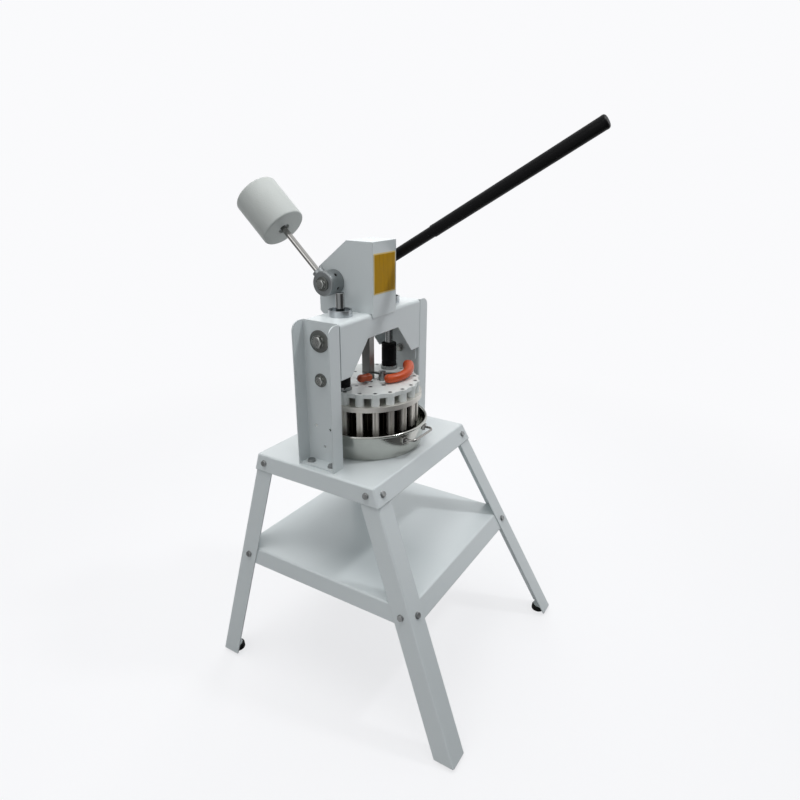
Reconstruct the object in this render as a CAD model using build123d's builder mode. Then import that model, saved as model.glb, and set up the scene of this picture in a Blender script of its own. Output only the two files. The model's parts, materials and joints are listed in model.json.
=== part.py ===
from build123d import *
import math
import os

# Stand: a folded sheet table and shelf on four splayed angle legs (millimetres, +Z up)
table_height = 577.0
table_width = 442.0
table_front = 161.5
table_back = 182.0
sheet = 3.0
apron_height = 41.0
side_splay = 0.176
front_splay = 0.485
rear_splay = 0.160
fold_radius = 6.0
leg_flange = 50.0
leg_lift = 8.0
leg_fold_outer = 5.0
leg_fold_inner = 2.0
shelf_drop = 251.0
shelf_apron = 41.0
bracket_side = 34.0
bracket_corner = 15.0
bracket_thickness = 4.0
foot_diameter = 38.0
foot_inset = 21.0
foot_height = 14.0
foot_chamfer = 2.0
stand_bolt_diameter = 8.0
stand_bolt_reach = 27.0
bolt_clearance = 0.2
bolt_end = 3.0

# Press frame: two channels that stand on the table and a folded bridge between them
frame_front = 45.6
frame_back = 57.4
upright_inner = 170.5
upright_flange = 40.0
upright_height = 343.0
upright_bend = 5.0
upright_inner_bend = 2.0
flange_corner = 22.0
base_depth = 33.0
base_thickness = 4.0
base_bolt_diameter = 10.0
base_bolt_spacing = 60.0
bridge_depth = 128.0
bridge_bend = 9.0
bridge_inner_bend = 6.0
arch_drop = 53.0
arch_apex_half = 65.0
arch_foot_half = 132.0
arch_corner = 8.0
end_plate_thickness = 5.0
end_plate_height = 158.0
tie_y = 10.5
upper_tie_drop = 45.0
upper_tie_diameter = 16.0
upper_washer_diameter = 51.0
lower_tie_drop = 136.0
lower_tie_diameter = 12.0
lower_washer_diameter = 32.0
washer_thickness = 3.0
web_hole_diameter = 7.0
web_hole_places = ((30.6, 92.0), (-10.0, 88.0), (7.4, 42.0))

# Lever housing on the bridge
housing_half = 49.0
housing_height = 162.0
housing_back = 106.0
housing_roof_back = 24.0
housing_slope_height = 97.0
housing_notch = 8.0
tongue_height = 10.0
skirt_height = 15.0
post_diameter = 12.0
post_inset = 12.5
cover_screw_diameter = 5.0
cover_screw_length = 12.0
label_half = 45.5
label_bottom = 43.6
label_height = 92.5
label_thickness = 0.8

# Lever: pivot shaft, sector gear, hubs, counterweight and handle
pivot_height = 65.5
gear_module = 4.0
gear_teeth = 26
pressure_angle = 20.0
backlash = 0.25
gear_width = 20.0
gear_hub_diameter = 46.0
shaft_diameter = 25.0
key_size = 8.0
bearing_diameter = 36.0
bearing_flange_diameter = 50.0
bearing_flange_thickness = 5.0
bearing_length = 20.0
hub_diameter = 58.0
hub_end = 93.3
hub_gap = 1.0
end_bolt_diameter = 12.0
end_washer_diameter = 33.5
set_screw_diameter = 8.0
set_screw_length = 12.0
handle_screw_x = 56.0
handle_screw_turns = (150.0, 240.0)
weight_screw_x = 70.0
weight_screw_turns = (136.0, 202.0)
rod_angle = 43.0
rod_diameter = 14.0
rod_x = 76.0
rod_boss_diameter = 28.0
rod_boss_reach = 36.0
rod_grip = 70.0
weight_start = 168.0
weight_length = 111.0
weight_diameter = 109.0
weight_edge = 4.0
weight_counterbore = 28.0
weight_counterbore_depth = 14.0
rod_nut_width = 22.0
rod_nut_height = 10.0
handle_angle = 31.0
handle_x = 73.5
handle_boss_diameter = 35.0
handle_boss_reach = 46.0
handle_bar_diameter = 26.0
handle_bar_end = 330.0
handle_sleeve_diameter = 29.0
handle_sleeve_start = 228.0
handle_reach = 659.0
cap_length = 8.0
cap_corner = 6.0
cap_plug_length = 20.0

# Head: strokes of the knives and of the press, from the pose drawn here
stroke_down = 40.0
stroke_up = 29.0
press_stroke = 22.0
knife_floor_gap = 1.0
knife_height = 81.2
knife_thickness = 2.0
knife_radius = 122.0
outer_ring_radius = 88.0
inner_ring_radius = 44.0
carrier_radius = 133.4
carrier_thickness = 12.2
block_height = 18.0
block_clearance = 0.75
spacer_height = 20.1
disc_radius = 124.0
disc_lobe_radius = 11.5
disc_thickness = 10.0
outer_pitch = 117.0
middle_pitch = 65.0
inner_pitch = 28.0
outer_turn = 6.0
middle_turn = 8.0
inner_turn = 45.0
outer_cells = 20
middle_cells = 12
inner_cells = 4
outer_stem = (16.0, 15.0)
middle_stem = (12.0, 12.0)
inner_stem = (10.0, 10.0)
outer_spacer = 21.0
middle_spacer = 16.0
inner_spacer = 13.0
stem_clearance = 0.3
press_screw_diameter = 6.0
press_screw_head = 10.0
press_screw_head_height = 6.0
press_screw_grip = 14.0
column_width = 20.0
column_front = 10.0
rack_pitch_y = 9.0
rack_lead = 17.5
column_foot_diameter = 38.0
column_foot_height = 10.0
column_guide_half = 25.0
column_guide_height = 26.0
guide_x = 101.5
guide_y = 5.5
guide_diameter = 20.0
guide_length = 230.0
guide_foot_diameter = 44.0
guide_foot_height = 9.7
stop_sleeve_diameter = 39.0
stop_sleeve_length = 60.0
bush_diameter = 36.0
bush_flange_diameter = 54.0
bush_flange_height = 15.0
bush_recess_diameter = 47.0
bush_recess_depth = 10.0
bush_stop_gap = 1.0

# Lock levers on the press disc
lock_base_height = 12.0
lock_base_diameter = 22.0
lock_plate_thickness = 5.0
lock_pin_diameter = 8.0
lock_pin_head = 14.0
lock_pin_head_height = 4.0
lock_hub_diameter = 18.0
lock_arm_width = 9.0
lock_nose_width = 8.0
lock_nose_gap = 0.5
right_lock_pivot = (10.0, -36.0)
right_lock_arm = (36.0, -80.0)
right_grip_points = ((-9.0, -64.5, 12.5), (44.0, -82.0, 15.5), (88.0, -62.0, 21.5))
right_grip_diameters = (21.0, 28.0)
left_lock_pivot = (-26.0, -8.0)
left_lock_arm = (-46.0, -20.0)
left_grip_points = ((-37.0, -25.0, 17.0), (-55.0, -15.0, 17.0))
left_grip_diameter = 19.0

# Pan
pan_wall = 1.2
pan_base_radius = 133.5
pan_rim_radius = 149.4
pan_height = 68.6
pan_bead_diameter = 7.0
pan_corner = 3.5
pan_handle_half = 47.0
pan_handle_reach = 162.0
pan_handle_height = 48.0
pan_handle_wire = 6.0
pan_handle_bend = 12.0
pan_pad_size = 16.0

# Fits
seat_fit = 0.02
running_fit = 0.05
seat_gap = 0.2
slide_gap = 0.3
opening_gap = 1.0

# Heights and places that follow from the sizes above
shelf_height = table_height - shelf_drop
bridge_top = table_height + upright_height
bridge_bottom = bridge_top - bridge_depth
housing_top = bridge_top + housing_height
housing_front = frame_front + sheet
frame_depth = frame_front + frame_back
frame_middle = (frame_back - frame_front) / 2
pitch_radius = gear_module * gear_teeth / 2
tooth_pitch = math.pi * gear_module
pivot_y = rack_pitch_y + pitch_radius
pivot_z = bridge_top + pivot_height
pan_floor = table_height + pan_wall
knife_bottom = pan_floor + knife_floor_gap + stroke_down
carrier_bottom = knife_bottom + knife_height
carrier_top = carrier_bottom + carrier_thickness
spacer_bottom = carrier_top + seat_gap
disc_bottom = spacer_bottom + spacer_height
disc_top = disc_bottom + disc_thickness
sleeve_bottom = disc_top + guide_foot_height
sleeve_top = sleeve_bottom + stop_sleeve_length
bush_bottom = sleeve_top + stroke_up + press_stroke + bush_stop_gap
column_back = rack_pitch_y + gear_module
rack_root = rack_pitch_y - 1.25 * gear_module
rack_top = pivot_z + stroke_down + rack_lead
column_depth = column_front + column_back
column_middle = (column_back - column_front) / 2

# The column stands where the handle's tip and the counterweight's rim balance about the origin
cap_radius = handle_sleeve_diameter / 2
cap_start = handle_reach - cap_length
handle_run = math.cos(math.radians(handle_angle))
handle_rise = math.sin(math.radians(handle_angle))
rod_run = math.cos(math.radians(rod_angle))
rod_rise = math.sin(math.radians(rod_angle))
weight_end = weight_start + weight_length
tip_run = (handle_reach - cap_corner) * handle_run + (cap_radius - cap_corner) * handle_rise
front_reach = tip_run + cap_corner - pivot_y
rim_run = (weight_end - weight_edge) * rod_run + (weight_diameter / 2 - weight_edge) * rod_rise
back_reach = pivot_y + rim_run + weight_edge
axis_y = (front_reach - back_reach) / 2

# Working planes through the column's axis: seen from above, from the right side and from the front
plan = Plane((0, axis_y, 0))
flank = Plane((0, axis_y, 0), (0, 1, 0), (1, 0, 0))
front = Plane((0, axis_y, 0), (1, 0, 0), (0, -1, 0))
column_axis = Axis((0, axis_y, 0), (0, 0, 1))
sides = ((-1, "left"), (1, "right"))
ends = ((-1, "front", front_splay), (1, "rear", rear_splay))

os.makedirs("parts", exist_ok=True)


def envelope(height, inset):
    """Half width, front edge and back edge of the splayed stand at a height, moved inwards by inset."""
    drop = table_height - height
    half = table_width / 2 + side_splay * drop - inset
    forward = table_front + front_splay * drop - inset
    backward = table_back + rear_splay * drop - inset
    return half, -forward, backward


def outline(height, inset):
    """Rectangle of the splayed stand at a height."""
    half, forward, backward = envelope(height, inset)
    with BuildSketch(plan.offset(height)) as shape:
        with Locations((0, (forward + backward) / 2)):
            Rectangle(2 * half, backward - forward)
    return shape.sketch


def corner(side, end, height, inset):
    """Plan corner of the splayed stand on one side and at one end."""
    half, forward, backward = envelope(height, inset)
    return side * half, forward if end < 0 else backward


def leg_direction(side, end, splay):
    """Upward direction along a leg's fold."""
    return (-side * side_splay, -end * splay, 1)


def flange_bolts(height, inset):
    """Plane on the outer face and grip length of each bolt through two sheets at a height."""
    places = []
    for side, _ in sides:
        for end, _, splay in ends:
            x, y = corner(side, end, height, inset)
            on_side = (x, axis_y + y - end * stand_bolt_reach, height)
            on_end = (x - side * stand_bolt_reach, axis_y + y, height)
            side_grip = 2 * sheet / math.hypot(1, side_splay)
            end_grip = 2 * sheet / math.hypot(1, splay)
            places.append((Plane(on_side, (0, 1, 0), (side, 0, side_splay)), side_grip))
            places.append((Plane(on_end, (1, 0, 0), (0, end, splay)), end_grip))
    return places


def hex_width(diameter):
    """Width across the flats of a hexagon head or nut."""
    return 1.6 * diameter


def head_height(diameter):
    """Height of a hexagon head or nut."""
    return 0.65 * diameter


apron_bolt_height = table_height - apron_height / 2
shelf_bolt_height = shelf_height - shelf_apron / 2
apron_bolt_places = flange_bolts(apron_bolt_height, 0)
shelf_bolt_places = flange_bolts(shelf_bolt_height, sheet)
bolt_hole_radius = stand_bolt_diameter / 2 + bolt_clearance
base_bolt_x = upright_inner + sheet + base_depth / 2
base_bolt_y = (frame_middle - base_bolt_spacing / 2, frame_middle + base_bolt_spacing / 2)

# Table top: one folded sheet with aprons that flare with the legs
with BuildPart() as table_top:
    loft([outline(table_height - apron_height, 0), outline(table_height, 0)])
    fillet(table_top.edges().group_by(Axis.Z)[-1] + table_top.edges().group_by(Axis.Z)[1], fold_radius)
    loft(
        [outline(table_height - apron_height, sheet), outline(table_height - sheet, sheet)],
        mode=Mode.SUBTRACT,
    )
    for plane, grip in apron_bolt_places:
        with BuildSketch(plane):
            Circle(bolt_hole_radius)
        extrude(amount=2 * grip, both=True, mode=Mode.SUBTRACT)
    with BuildSketch(plan.offset(table_height)):
        for side, _ in sides:
            with Locations(*[(side * base_bolt_x, y) for y in base_bolt_y]):
                Circle(base_bolt_diameter / 2 + bolt_clearance)
    extrude(amount=-2 * sheet, mode=Mode.SUBTRACT)
table_top.part.label = "table_top"
export_step(table_top.part, "parts/table_top.step")

# Lower shelf: the same folded tray, just inside the leg flanges
with BuildPart() as lower_shelf:
    loft([outline(shelf_height - shelf_apron, 2 * sheet), outline(shelf_height, 2 * sheet)])
    fillet(lower_shelf.edges().group_by(Axis.Z)[-1] + lower_shelf.edges().group_by(Axis.Z)[1], fold_radius)
    loft(
        [outline(shelf_height - shelf_apron, 3 * sheet), outline(shelf_height - sheet, 3 * sheet)],
        mode=Mode.SUBTRACT,
    )
    for plane, grip in shelf_bolt_places:
        with BuildSketch(plane):
            Circle(bolt_hole_radius)
        extrude(amount=2 * grip, both=True, mode=Mode.SUBTRACT)
lower_shelf.part.label = "lower_shelf"
export_step(lower_shelf.part, "parts/lower_shelf.step")

# Legs: bent angles that follow the stand's splay
leg_top = table_height - sheet
for side, hand in sides:
    for end, place, splay in ends:
        leg_corner = corner(side, end, leg_lift, sheet)
        along = leg_direction(side, end, splay)
        leg_length = (leg_top - leg_lift) * Vector(along).length
        with BuildPart() as leg:
            with BuildSketch(plan.offset(leg_lift)) as angle:
                x_middle = leg_corner[0] - side * leg_flange / 2
                y_middle = leg_corner[1] - end * leg_flange / 2
                with Locations((x_middle, y_middle)):
                    Rectangle(leg_flange, leg_flange)
                with Locations((x_middle - side * sheet, y_middle - end * sheet)):
                    Rectangle(leg_flange, leg_flange, mode=Mode.SUBTRACT)
                fillet(angle.vertices().sort_by_distance(leg_corner)[1], leg_fold_inner)
                fillet(angle.vertices().sort_by_distance(leg_corner)[0], leg_fold_outer)
            extrude(amount=leg_length, dir=along)
            for plane, grip in apron_bolt_places + shelf_bolt_places:
                with BuildSketch(plane):
                    Circle(bolt_hole_radius)
                extrude(amount=2 * grip, both=True, mode=Mode.SUBTRACT)
        leg_name = f"leg_{place}_{hand}"
        leg.part.label = leg_name
        export_step(leg.part, f"parts/{leg_name}.step")

# Foot brackets: plates inside the leg ends
with BuildPart() as foot_brackets:
    for side, _ in sides:
        for end, _, splay in ends:
            along = leg_direction(side, end, splay)
            x, y = corner(side, end, foot_height, 2 * sheet)
            with BuildSketch(plan.offset(foot_height)) as bracket:
                with Locations((x - side * bracket_side / 2, y - end * bracket_side / 2)):
                    Rectangle(bracket_side, bracket_side)
                fillet(bracket.vertices().sort_by_distance((x, y))[0], leg_fold_outer)
                fillet(bracket.vertices().sort_by_distance((x, y))[-1], bracket_corner)
            extrude(amount=bracket_thickness * Vector(along).length, dir=along)
foot_brackets.part.label = "foot_brackets"
export_step(foot_brackets.part, "parts/foot_brackets.step")

# Rubber feet under the brackets
with BuildPart() as rubber_feet:
    for side, _ in sides:
        for end, _, _ in ends:
            x, y = corner(side, end, foot_height, 2 * sheet)
            with BuildSketch(plan):
                with Locations((x - side * foot_inset, y - end * foot_inset)):
                    Circle(foot_diameter / 2)
            extrude(amount=foot_height)
    chamfer(rubber_feet.edges().group_by(Axis.Z)[0], foot_chamfer)
rubber_feet.part.label = "rubber_feet"
export_step(rubber_feet.part, "parts/rubber_feet.step")

# Bolts with their nuts through the aprons and through the shelf
for bolt_name, places in (("apron_bolts", apron_bolt_places), ("shelf_bolts", shelf_bolt_places)):
    with BuildPart() as stand_bolts:
        nut_height = head_height(stand_bolt_diameter)
        for plane, grip in places:
            with BuildSketch(plane):
                RegularPolygon(hex_width(stand_bolt_diameter) / 2, 6, major_radius=False)
            extrude(amount=nut_height)
            with BuildSketch(plane):
                Circle(stand_bolt_diameter / 2)
            extrude(amount=-(grip + nut_height + bolt_end))
            with BuildSketch(plane.offset(-grip)):
                RegularPolygon(hex_width(stand_bolt_diameter) / 2, 6, major_radius=False)
            extrude(amount=-nut_height)
    stand_bolts.part.label = bolt_name
    export_step(stand_bolts.part, f"parts/{bolt_name}.step")

# Uprights: channels that open outwards, with a foot plate between the flanges
upper_tie = (tie_y, bridge_top - upper_tie_drop)
lower_tie = (tie_y, bridge_top - lower_tie_drop)
for side, hand in sides:
    with BuildPart() as upright:
        with BuildSketch(plan.offset(table_height)) as channel:
            with Locations((side * (upright_inner + upright_flange / 2), frame_middle)):
                Rectangle(upright_flange, frame_depth)
            with Locations((side * (upright_inner + sheet + upright_flange / 2), frame_middle)):
                Rectangle(upright_flange, frame_depth - 2 * sheet, mode=Mode.SUBTRACT)
            fillet(channel.vertices().sort_by(lambda v: abs(v.X))[2:4], upright_inner_bend)
            fillet(channel.vertices().sort_by(lambda v: abs(v.X))[:2], upright_bend)
        extrude(amount=upright_height)
        top_edges = upright.edges().filter_by(Axis.Y).group_by(Axis.Z)[-1]
        fillet(top_edges.sort_by(lambda e: abs(e.center().X))[-2:], flange_corner)
        with BuildSketch(plan.offset(table_height)):
            with Locations((side * base_bolt_x, frame_middle)):
                Rectangle(base_depth, frame_depth - 2 * sheet)
        extrude(amount=base_thickness)
        with BuildSketch(plan.offset(table_height)):
            with Locations(*[(side * base_bolt_x, y) for y in base_bolt_y]):
                Circle(base_bolt_diameter / 2 + bolt_clearance)
        extrude(amount=2 * base_thickness, mode=Mode.SUBTRACT)
        with BuildSketch(flank.offset(side * upright_inner)):
            with Locations(upper_tie):
                Circle(upper_tie_diameter / 2 + bolt_clearance)
            with Locations(lower_tie):
                Circle(lower_tie_diameter / 2 + bolt_clearance)
            with Locations(*[(y, table_height + z) for y, z in web_hole_places]):
                Circle(web_hole_diameter / 2)
        extrude(amount=2 * sheet, both=True, mode=Mode.SUBTRACT)
    upright_name = f"upright_{hand}"
    upright.part.label = upright_name
    export_step(upright.part, f"parts/{upright_name}.step")

# Bolts that hold the uprights to the table
with BuildPart() as base_bolts:
    base_nut = head_height(base_bolt_diameter)
    for side, _ in sides:
        for y in base_bolt_y:
            for level, amount in (
                (table_height + base_thickness, base_nut),
                (table_height - sheet, -base_nut),
            ):
                with BuildSketch(plan.offset(level)):
                    with Locations((side * base_bolt_x, y)):
                        RegularPolygon(hex_width(base_bolt_diameter) / 2, 6, major_radius=False)
                extrude(amount=amount)
            with BuildSketch(plan.offset(table_height + base_thickness)):
                with Locations((side * base_bolt_x, y)):
                    Circle(base_bolt_diameter / 2)
            extrude(amount=-(base_thickness + sheet + base_nut + bolt_end))
base_bolts.part.label = "upright_base_bolts"
export_step(base_bolts.part, "parts/upright_base_bolts.step")

# Bridge: folded sheet, arched in its front and back plates
with BuildPart() as bridge:
    with BuildSketch(flank.offset(-upright_inner)) as fold:
        with Locations((frame_middle, bridge_top - bridge_depth / 2)):
            Rectangle(frame_depth, bridge_depth)
        with Locations((frame_middle, bridge_top - sheet - bridge_depth / 2)):
            Rectangle(frame_depth - 2 * sheet, bridge_depth, mode=Mode.SUBTRACT)
        fillet(fold.vertices().sort_by(Axis.Y)[-4:-2], bridge_inner_bend)
        fillet(fold.vertices().sort_by(Axis.Y)[-2:], bridge_bend)
    extrude(amount=2 * upright_inner)
    with BuildSketch(front) as arch:
        with BuildLine():
            Polyline(
                (-arch_foot_half, bridge_bottom),
                (-arch_apex_half, bridge_top - arch_drop),
                (arch_apex_half, bridge_top - arch_drop),
                (arch_foot_half, bridge_bottom),
                close=True,
            )
        make_face()
        fillet(arch.vertices().sort_by(Axis.Y)[-2:], arch_corner)
    extrude(amount=frame_depth, both=True, mode=Mode.SUBTRACT)
    with BuildSketch(plan.offset(bridge_top)):
        with Locations((0, column_middle)):
            Rectangle(column_width + 2 * opening_gap, column_depth + 2 * opening_gap)
        with Locations((-guide_x, guide_y), (guide_x, guide_y)):
            Circle(bush_diameter / 2 + seat_fit)
    extrude(amount=-2 * sheet, mode=Mode.SUBTRACT)
bridge.part.label = "bridge"
export_step(bridge.part, "parts/bridge.step")

# End plates that stiffen the bridge where it is tied to the uprights
end_plate_width = frame_depth - 2 * sheet - 2 * bridge_inner_bend
with BuildPart() as end_plates:
    for side, _ in sides:
        with BuildSketch(flank.offset(side * (upright_inner - end_plate_thickness / 2))):
            with Locations((frame_middle, bridge_top - sheet - end_plate_height / 2)):
                Rectangle(end_plate_width, end_plate_height)
            with Locations(upper_tie):
                Circle(upper_tie_diameter / 2 + bolt_clearance, mode=Mode.SUBTRACT)
            with Locations(lower_tie):
                Circle(lower_tie_diameter / 2 + bolt_clearance, mode=Mode.SUBTRACT)
        extrude(amount=end_plate_thickness / 2, both=True)
end_plates.part.label = "bridge_end_plates"
export_step(end_plates.part, "parts/bridge_end_plates.step")

# Washers and bolts that tie the bridge to the uprights
ties = (
    (upper_tie, upper_tie_diameter, upper_washer_diameter),
    (lower_tie, lower_tie_diameter, lower_washer_diameter),
)
web_face = upright_inner + sheet
with BuildPart() as tie_washers:
    for side, _ in sides:
        for place, diameter, washer_diameter in ties:
            with BuildSketch(flank.offset(side * web_face)):
                with Locations(place):
                    Circle(washer_diameter / 2)
                    Circle(diameter / 2 + bolt_clearance, mode=Mode.SUBTRACT)
            extrude(amount=side * washer_thickness)
tie_washers.part.label = "tie_washers"
export_step(tie_washers.part, "parts/tie_washers.step")

with BuildPart() as tie_bolts:
    nut_face = upright_inner - end_plate_thickness
    for side, _ in sides:
        for place, diameter, _ in ties:
            head_face = web_face + washer_thickness
            for face, amount in ((head_face, 1), (nut_face, -1)):
                with BuildSketch(flank.offset(side * face)):
                    with Locations(place):
                        RegularPolygon(hex_width(diameter) / 2, 6, major_radius=False)
                extrude(amount=side * amount * head_height(diameter))
            with BuildSketch(flank.offset(side * head_face)):
                with Locations(place):
                    Circle(diameter / 2)
            extrude(amount=-side * (head_face - nut_face + head_height(diameter) + bolt_end))
tie_bolts.part.label = "tie_bolts"
export_step(tie_bolts.part, "parts/tie_bolts.step")

# Housing: a folded box, open on the right, with a cover held by four screws
skirt_front = frame_back + opening_gap
skirt_bottom = bridge_top - skirt_height
with BuildSketch(flank) as housing_profile:
    with BuildLine():
        Polyline(
            (-housing_front, bridge_top),
            (-housing_front, housing_top),
            (housing_roof_back, housing_top),
            (housing_back, bridge_top + housing_slope_height),
            (housing_back, skirt_bottom + housing_notch),
            (housing_back - housing_notch, skirt_bottom),
            (skirt_front, skirt_bottom),
            (skirt_front, bridge_top),
            close=True,
        )
    make_face()
with BuildSketch(flank) as housing_hollow:
    add(housing_profile.sketch_local)
    offset(amount=-sheet, kind=Kind.INTERSECTION, mode=Mode.REPLACE)

post_places = (
    (-housing_front + post_inset, housing_top - post_inset),
    (-housing_front + post_inset, bridge_top + post_inset),
    (housing_back - post_inset, bridge_top + housing_slope_height - post_inset / 2),
    (housing_back - post_inset, bridge_top + post_inset),
)
pivot_point = (pivot_y, pivot_z)
cover_inner = housing_half - sheet
with BuildPart() as housing_box:
    extrude(Plane((-housing_half, 0, 0)) * housing_profile.sketch, amount=housing_half + cover_inner)
    hollow_start = Plane((sheet - housing_half, 0, 0))
    extrude(hollow_start * housing_hollow.sketch, amount=2 * housing_half, mode=Mode.SUBTRACT)
    with BuildSketch(flank.offset(-housing_half)):
        with Locations((-housing_front + sheet / 2, bridge_top - tongue_height / 2)):
            Rectangle(sheet, tongue_height)
    extrude(amount=housing_half + cover_inner)
    with BuildSketch(flank.offset(-cover_inner)):
        with Locations(*post_places):
            Circle(post_diameter / 2)
    extrude(amount=2 * cover_inner)
    with BuildSketch(flank.offset(cover_inner)):
        with Locations(*post_places):
            Circle(cover_screw_diameter / 2 + seat_fit)
    extrude(amount=-cover_screw_length, mode=Mode.SUBTRACT)
    with BuildSketch(flank.offset(-housing_half)):
        with Locations(pivot_point):
            Circle(bearing_diameter / 2 + seat_fit)
    extrude(amount=sheet, mode=Mode.SUBTRACT)
    with BuildSketch(plan.offset(bridge_top)):
        with Locations((0, column_middle)):
            Rectangle(column_width + 2 * opening_gap, column_depth + 2 * opening_gap)
    extrude(amount=sheet, mode=Mode.SUBTRACT)
housing_box.part.label = "housing_box"
export_step(housing_box.part, "parts/housing_box.step")

with BuildPart() as housing_cover:
    extrude(Plane((cover_inner, 0, 0)) * housing_profile.sketch, amount=sheet)
    with BuildSketch(flank.offset(cover_inner)):
        with Locations(*post_places):
            Circle(cover_screw_diameter / 2 + bolt_clearance)
        with Locations(pivot_point):
            Circle(bearing_diameter / 2 + seat_fit)
    extrude(amount=sheet, mode=Mode.SUBTRACT)
housing_cover.part.label = "housing_cover"
export_step(housing_cover.part, "parts/housing_cover.step")

with BuildPart() as cover_screws:
    with BuildSketch(flank.offset(housing_half)):
        with Locations(*post_places):
            Circle(cover_screw_diameter)
    extrude(amount=head_height(cover_screw_diameter))
    with BuildSketch(flank.offset(housing_half)):
        with Locations(*post_places):
            Circle(cover_screw_diameter / 2)
    extrude(amount=-(sheet + cover_screw_length - bolt_end))
cover_screws.part.label = "cover_screws"
export_step(cover_screws.part, "parts/cover_screws.step")

# Bare label plate on the front of the housing
with BuildPart() as label_plate:
    with BuildSketch(front.offset(housing_front)) as label:
        with Locations((0, bridge_top + label_bottom + label_height / 2)):
            Rectangle(2 * label_half, label_height)
        fillet(label.vertices(), upright_inner_bend)
    extrude(amount=label_thickness)
label_plate.part.label = "label_plate"
export_step(label_plate.part, "parts/label_plate.step")

# Flanged bearings in the two walls of the housing
with BuildPart() as pivot_bearings:
    for side, _ in sides:
        with BuildSketch(flank.offset(side * housing_half)):
            with Locations(pivot_point):
                Circle(bearing_diameter / 2)
        extrude(amount=-side * bearing_length)
        with BuildSketch(flank.offset(side * cover_inner)):
            with Locations(pivot_point):
                Circle(bearing_flange_diameter / 2)
        extrude(amount=-side * bearing_flange_thickness)
    with BuildSketch(flank.offset(-housing_half)):
        with Locations(pivot_point):
            Circle(shaft_diameter / 2 + running_fit)
    extrude(amount=2 * housing_half, mode=Mode.SUBTRACT)
pivot_bearings.part.label = "pivot_bearings"
export_step(pivot_bearings.part, "parts/pivot_bearings.step")

# Guide bushes with a cupped flange on the bridge
with BuildPart() as guide_bushes:
    for side, _ in sides:
        centre = (side * guide_x, guide_y)
        with BuildSketch(plan.offset(bridge_top)):
            with Locations(centre):
                Circle(bush_flange_diameter / 2)
        extrude(amount=bush_flange_height)
        with BuildSketch(plan.offset(bridge_top + bush_flange_height)):
            with Locations(centre):
                Circle(bush_recess_diameter / 2)
        extrude(amount=-bush_recess_depth, mode=Mode.SUBTRACT)
        with BuildSketch(plan.offset(bush_bottom)):
            with Locations(centre):
                Circle(bush_diameter / 2)
        extrude(amount=bridge_top - bush_bottom)
        with BuildSketch(plan.offset(bush_bottom)):
            with Locations(centre):
                Circle(guide_diameter / 2 + running_fit)
        extrude(amount=upright_height, mode=Mode.SUBTRACT)
guide_bushes.part.label = "guide_bushes"
export_step(guide_bushes.part, "parts/guide_bushes.step")

# Guide block for the rack column under the bridge
with BuildPart() as column_guide:
    with BuildSketch(plan.offset(bridge_top - sheet)):
        with Locations((0, column_middle)):
            Rectangle(2 * column_guide_half, 2 * column_guide_half)
            Rectangle(column_width + 2 * running_fit, column_depth + 2 * running_fit, mode=Mode.SUBTRACT)
    extrude(amount=-column_guide_height)
column_guide.part.label = "column_guide"
export_step(column_guide.part, "parts/column_guide.step")

# Pivot shaft with a keyway and tapped ends
pivot_flank = Plane((0, axis_y + pivot_y, pivot_z), (0, 1, 0), (1, 0, 0))
with BuildPart() as lever_shaft:
    with BuildSketch(pivot_flank.offset(-hub_end)):
        Circle(shaft_diameter / 2)
    extrude(amount=2 * hub_end)
    with BuildSketch(pivot_flank):
        with Locations((shaft_diameter / 2, 0)):
            Rectangle(key_size, key_size)
    extrude(amount=gear_width / 2, both=True, mode=Mode.SUBTRACT)
    for side, _ in sides:
        with BuildSketch(pivot_flank.offset(side * hub_end)):
            Circle(end_bolt_diameter / 2 + seat_fit)
        extrude(amount=-side * shaft_diameter, mode=Mode.SUBTRACT)
lever_shaft.part.label = "lever_shaft"
export_step(lever_shaft.part, "parts/lever_shaft.step")

with BuildPart() as gear_key:
    with BuildSketch(pivot_flank):
        with Locations((shaft_diameter / 2, 0)):
            Rectangle(key_size, key_size)
    extrude(amount=gear_width / 2, both=True)
gear_key.part.label = "gear_key"
export_step(gear_key.part, "parts/gear_key.step")

# Sector gear: involute teeth only over the arc that meets the rack
pressure = math.radians(pressure_angle)
base_radius = pitch_radius * math.cos(pressure)
tip_radius = pitch_radius + gear_module
root_radius = pitch_radius - 1.25 * gear_module
tooth_half = (tooth_pitch / 2 - backlash) / 2
pitch_half_angle = tooth_half / pitch_radius
base_half_angle = pitch_half_angle + math.tan(pressure) - pressure
tooth_angle = 360 / gear_teeth
teeth_above = math.ceil(math.degrees(stroke_down / pitch_radius) / tooth_angle)
teeth_below = math.ceil(math.degrees(stroke_up / pitch_radius) / tooth_angle)
tooth_places = [180 + tooth_angle * k for k in range(-teeth_above, teeth_below + 1)]


def flank_point(radius, hand):
    """Point on an involute flank at a radius, on the upper (1) or lower (-1) side of a tooth along +X."""
    roll = math.acos(base_radius / radius)
    turn = hand * (base_half_angle - (math.tan(roll) - roll))
    return radius * math.cos(turn), radius * math.sin(turn)


flank_radii = [base_radius + (tip_radius - base_radius) * share for share in (0, 0.25, 0.5, 0.75, 1)]
foot_radius = root_radius - gear_module / 4
foot_y = foot_radius * math.sin(base_half_angle)
with BuildSketch() as tooth:
    with BuildLine():
        upper = Spline(*[flank_point(radius, 1) for radius in flank_radii])
        lower = Spline(*[flank_point(radius, -1) for radius in flank_radii])
        Line(upper @ 1, lower @ 1)
        Polyline(upper @ 0, (foot_radius, foot_y), (foot_radius, -foot_y), lower @ 0)
    make_face()

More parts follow.
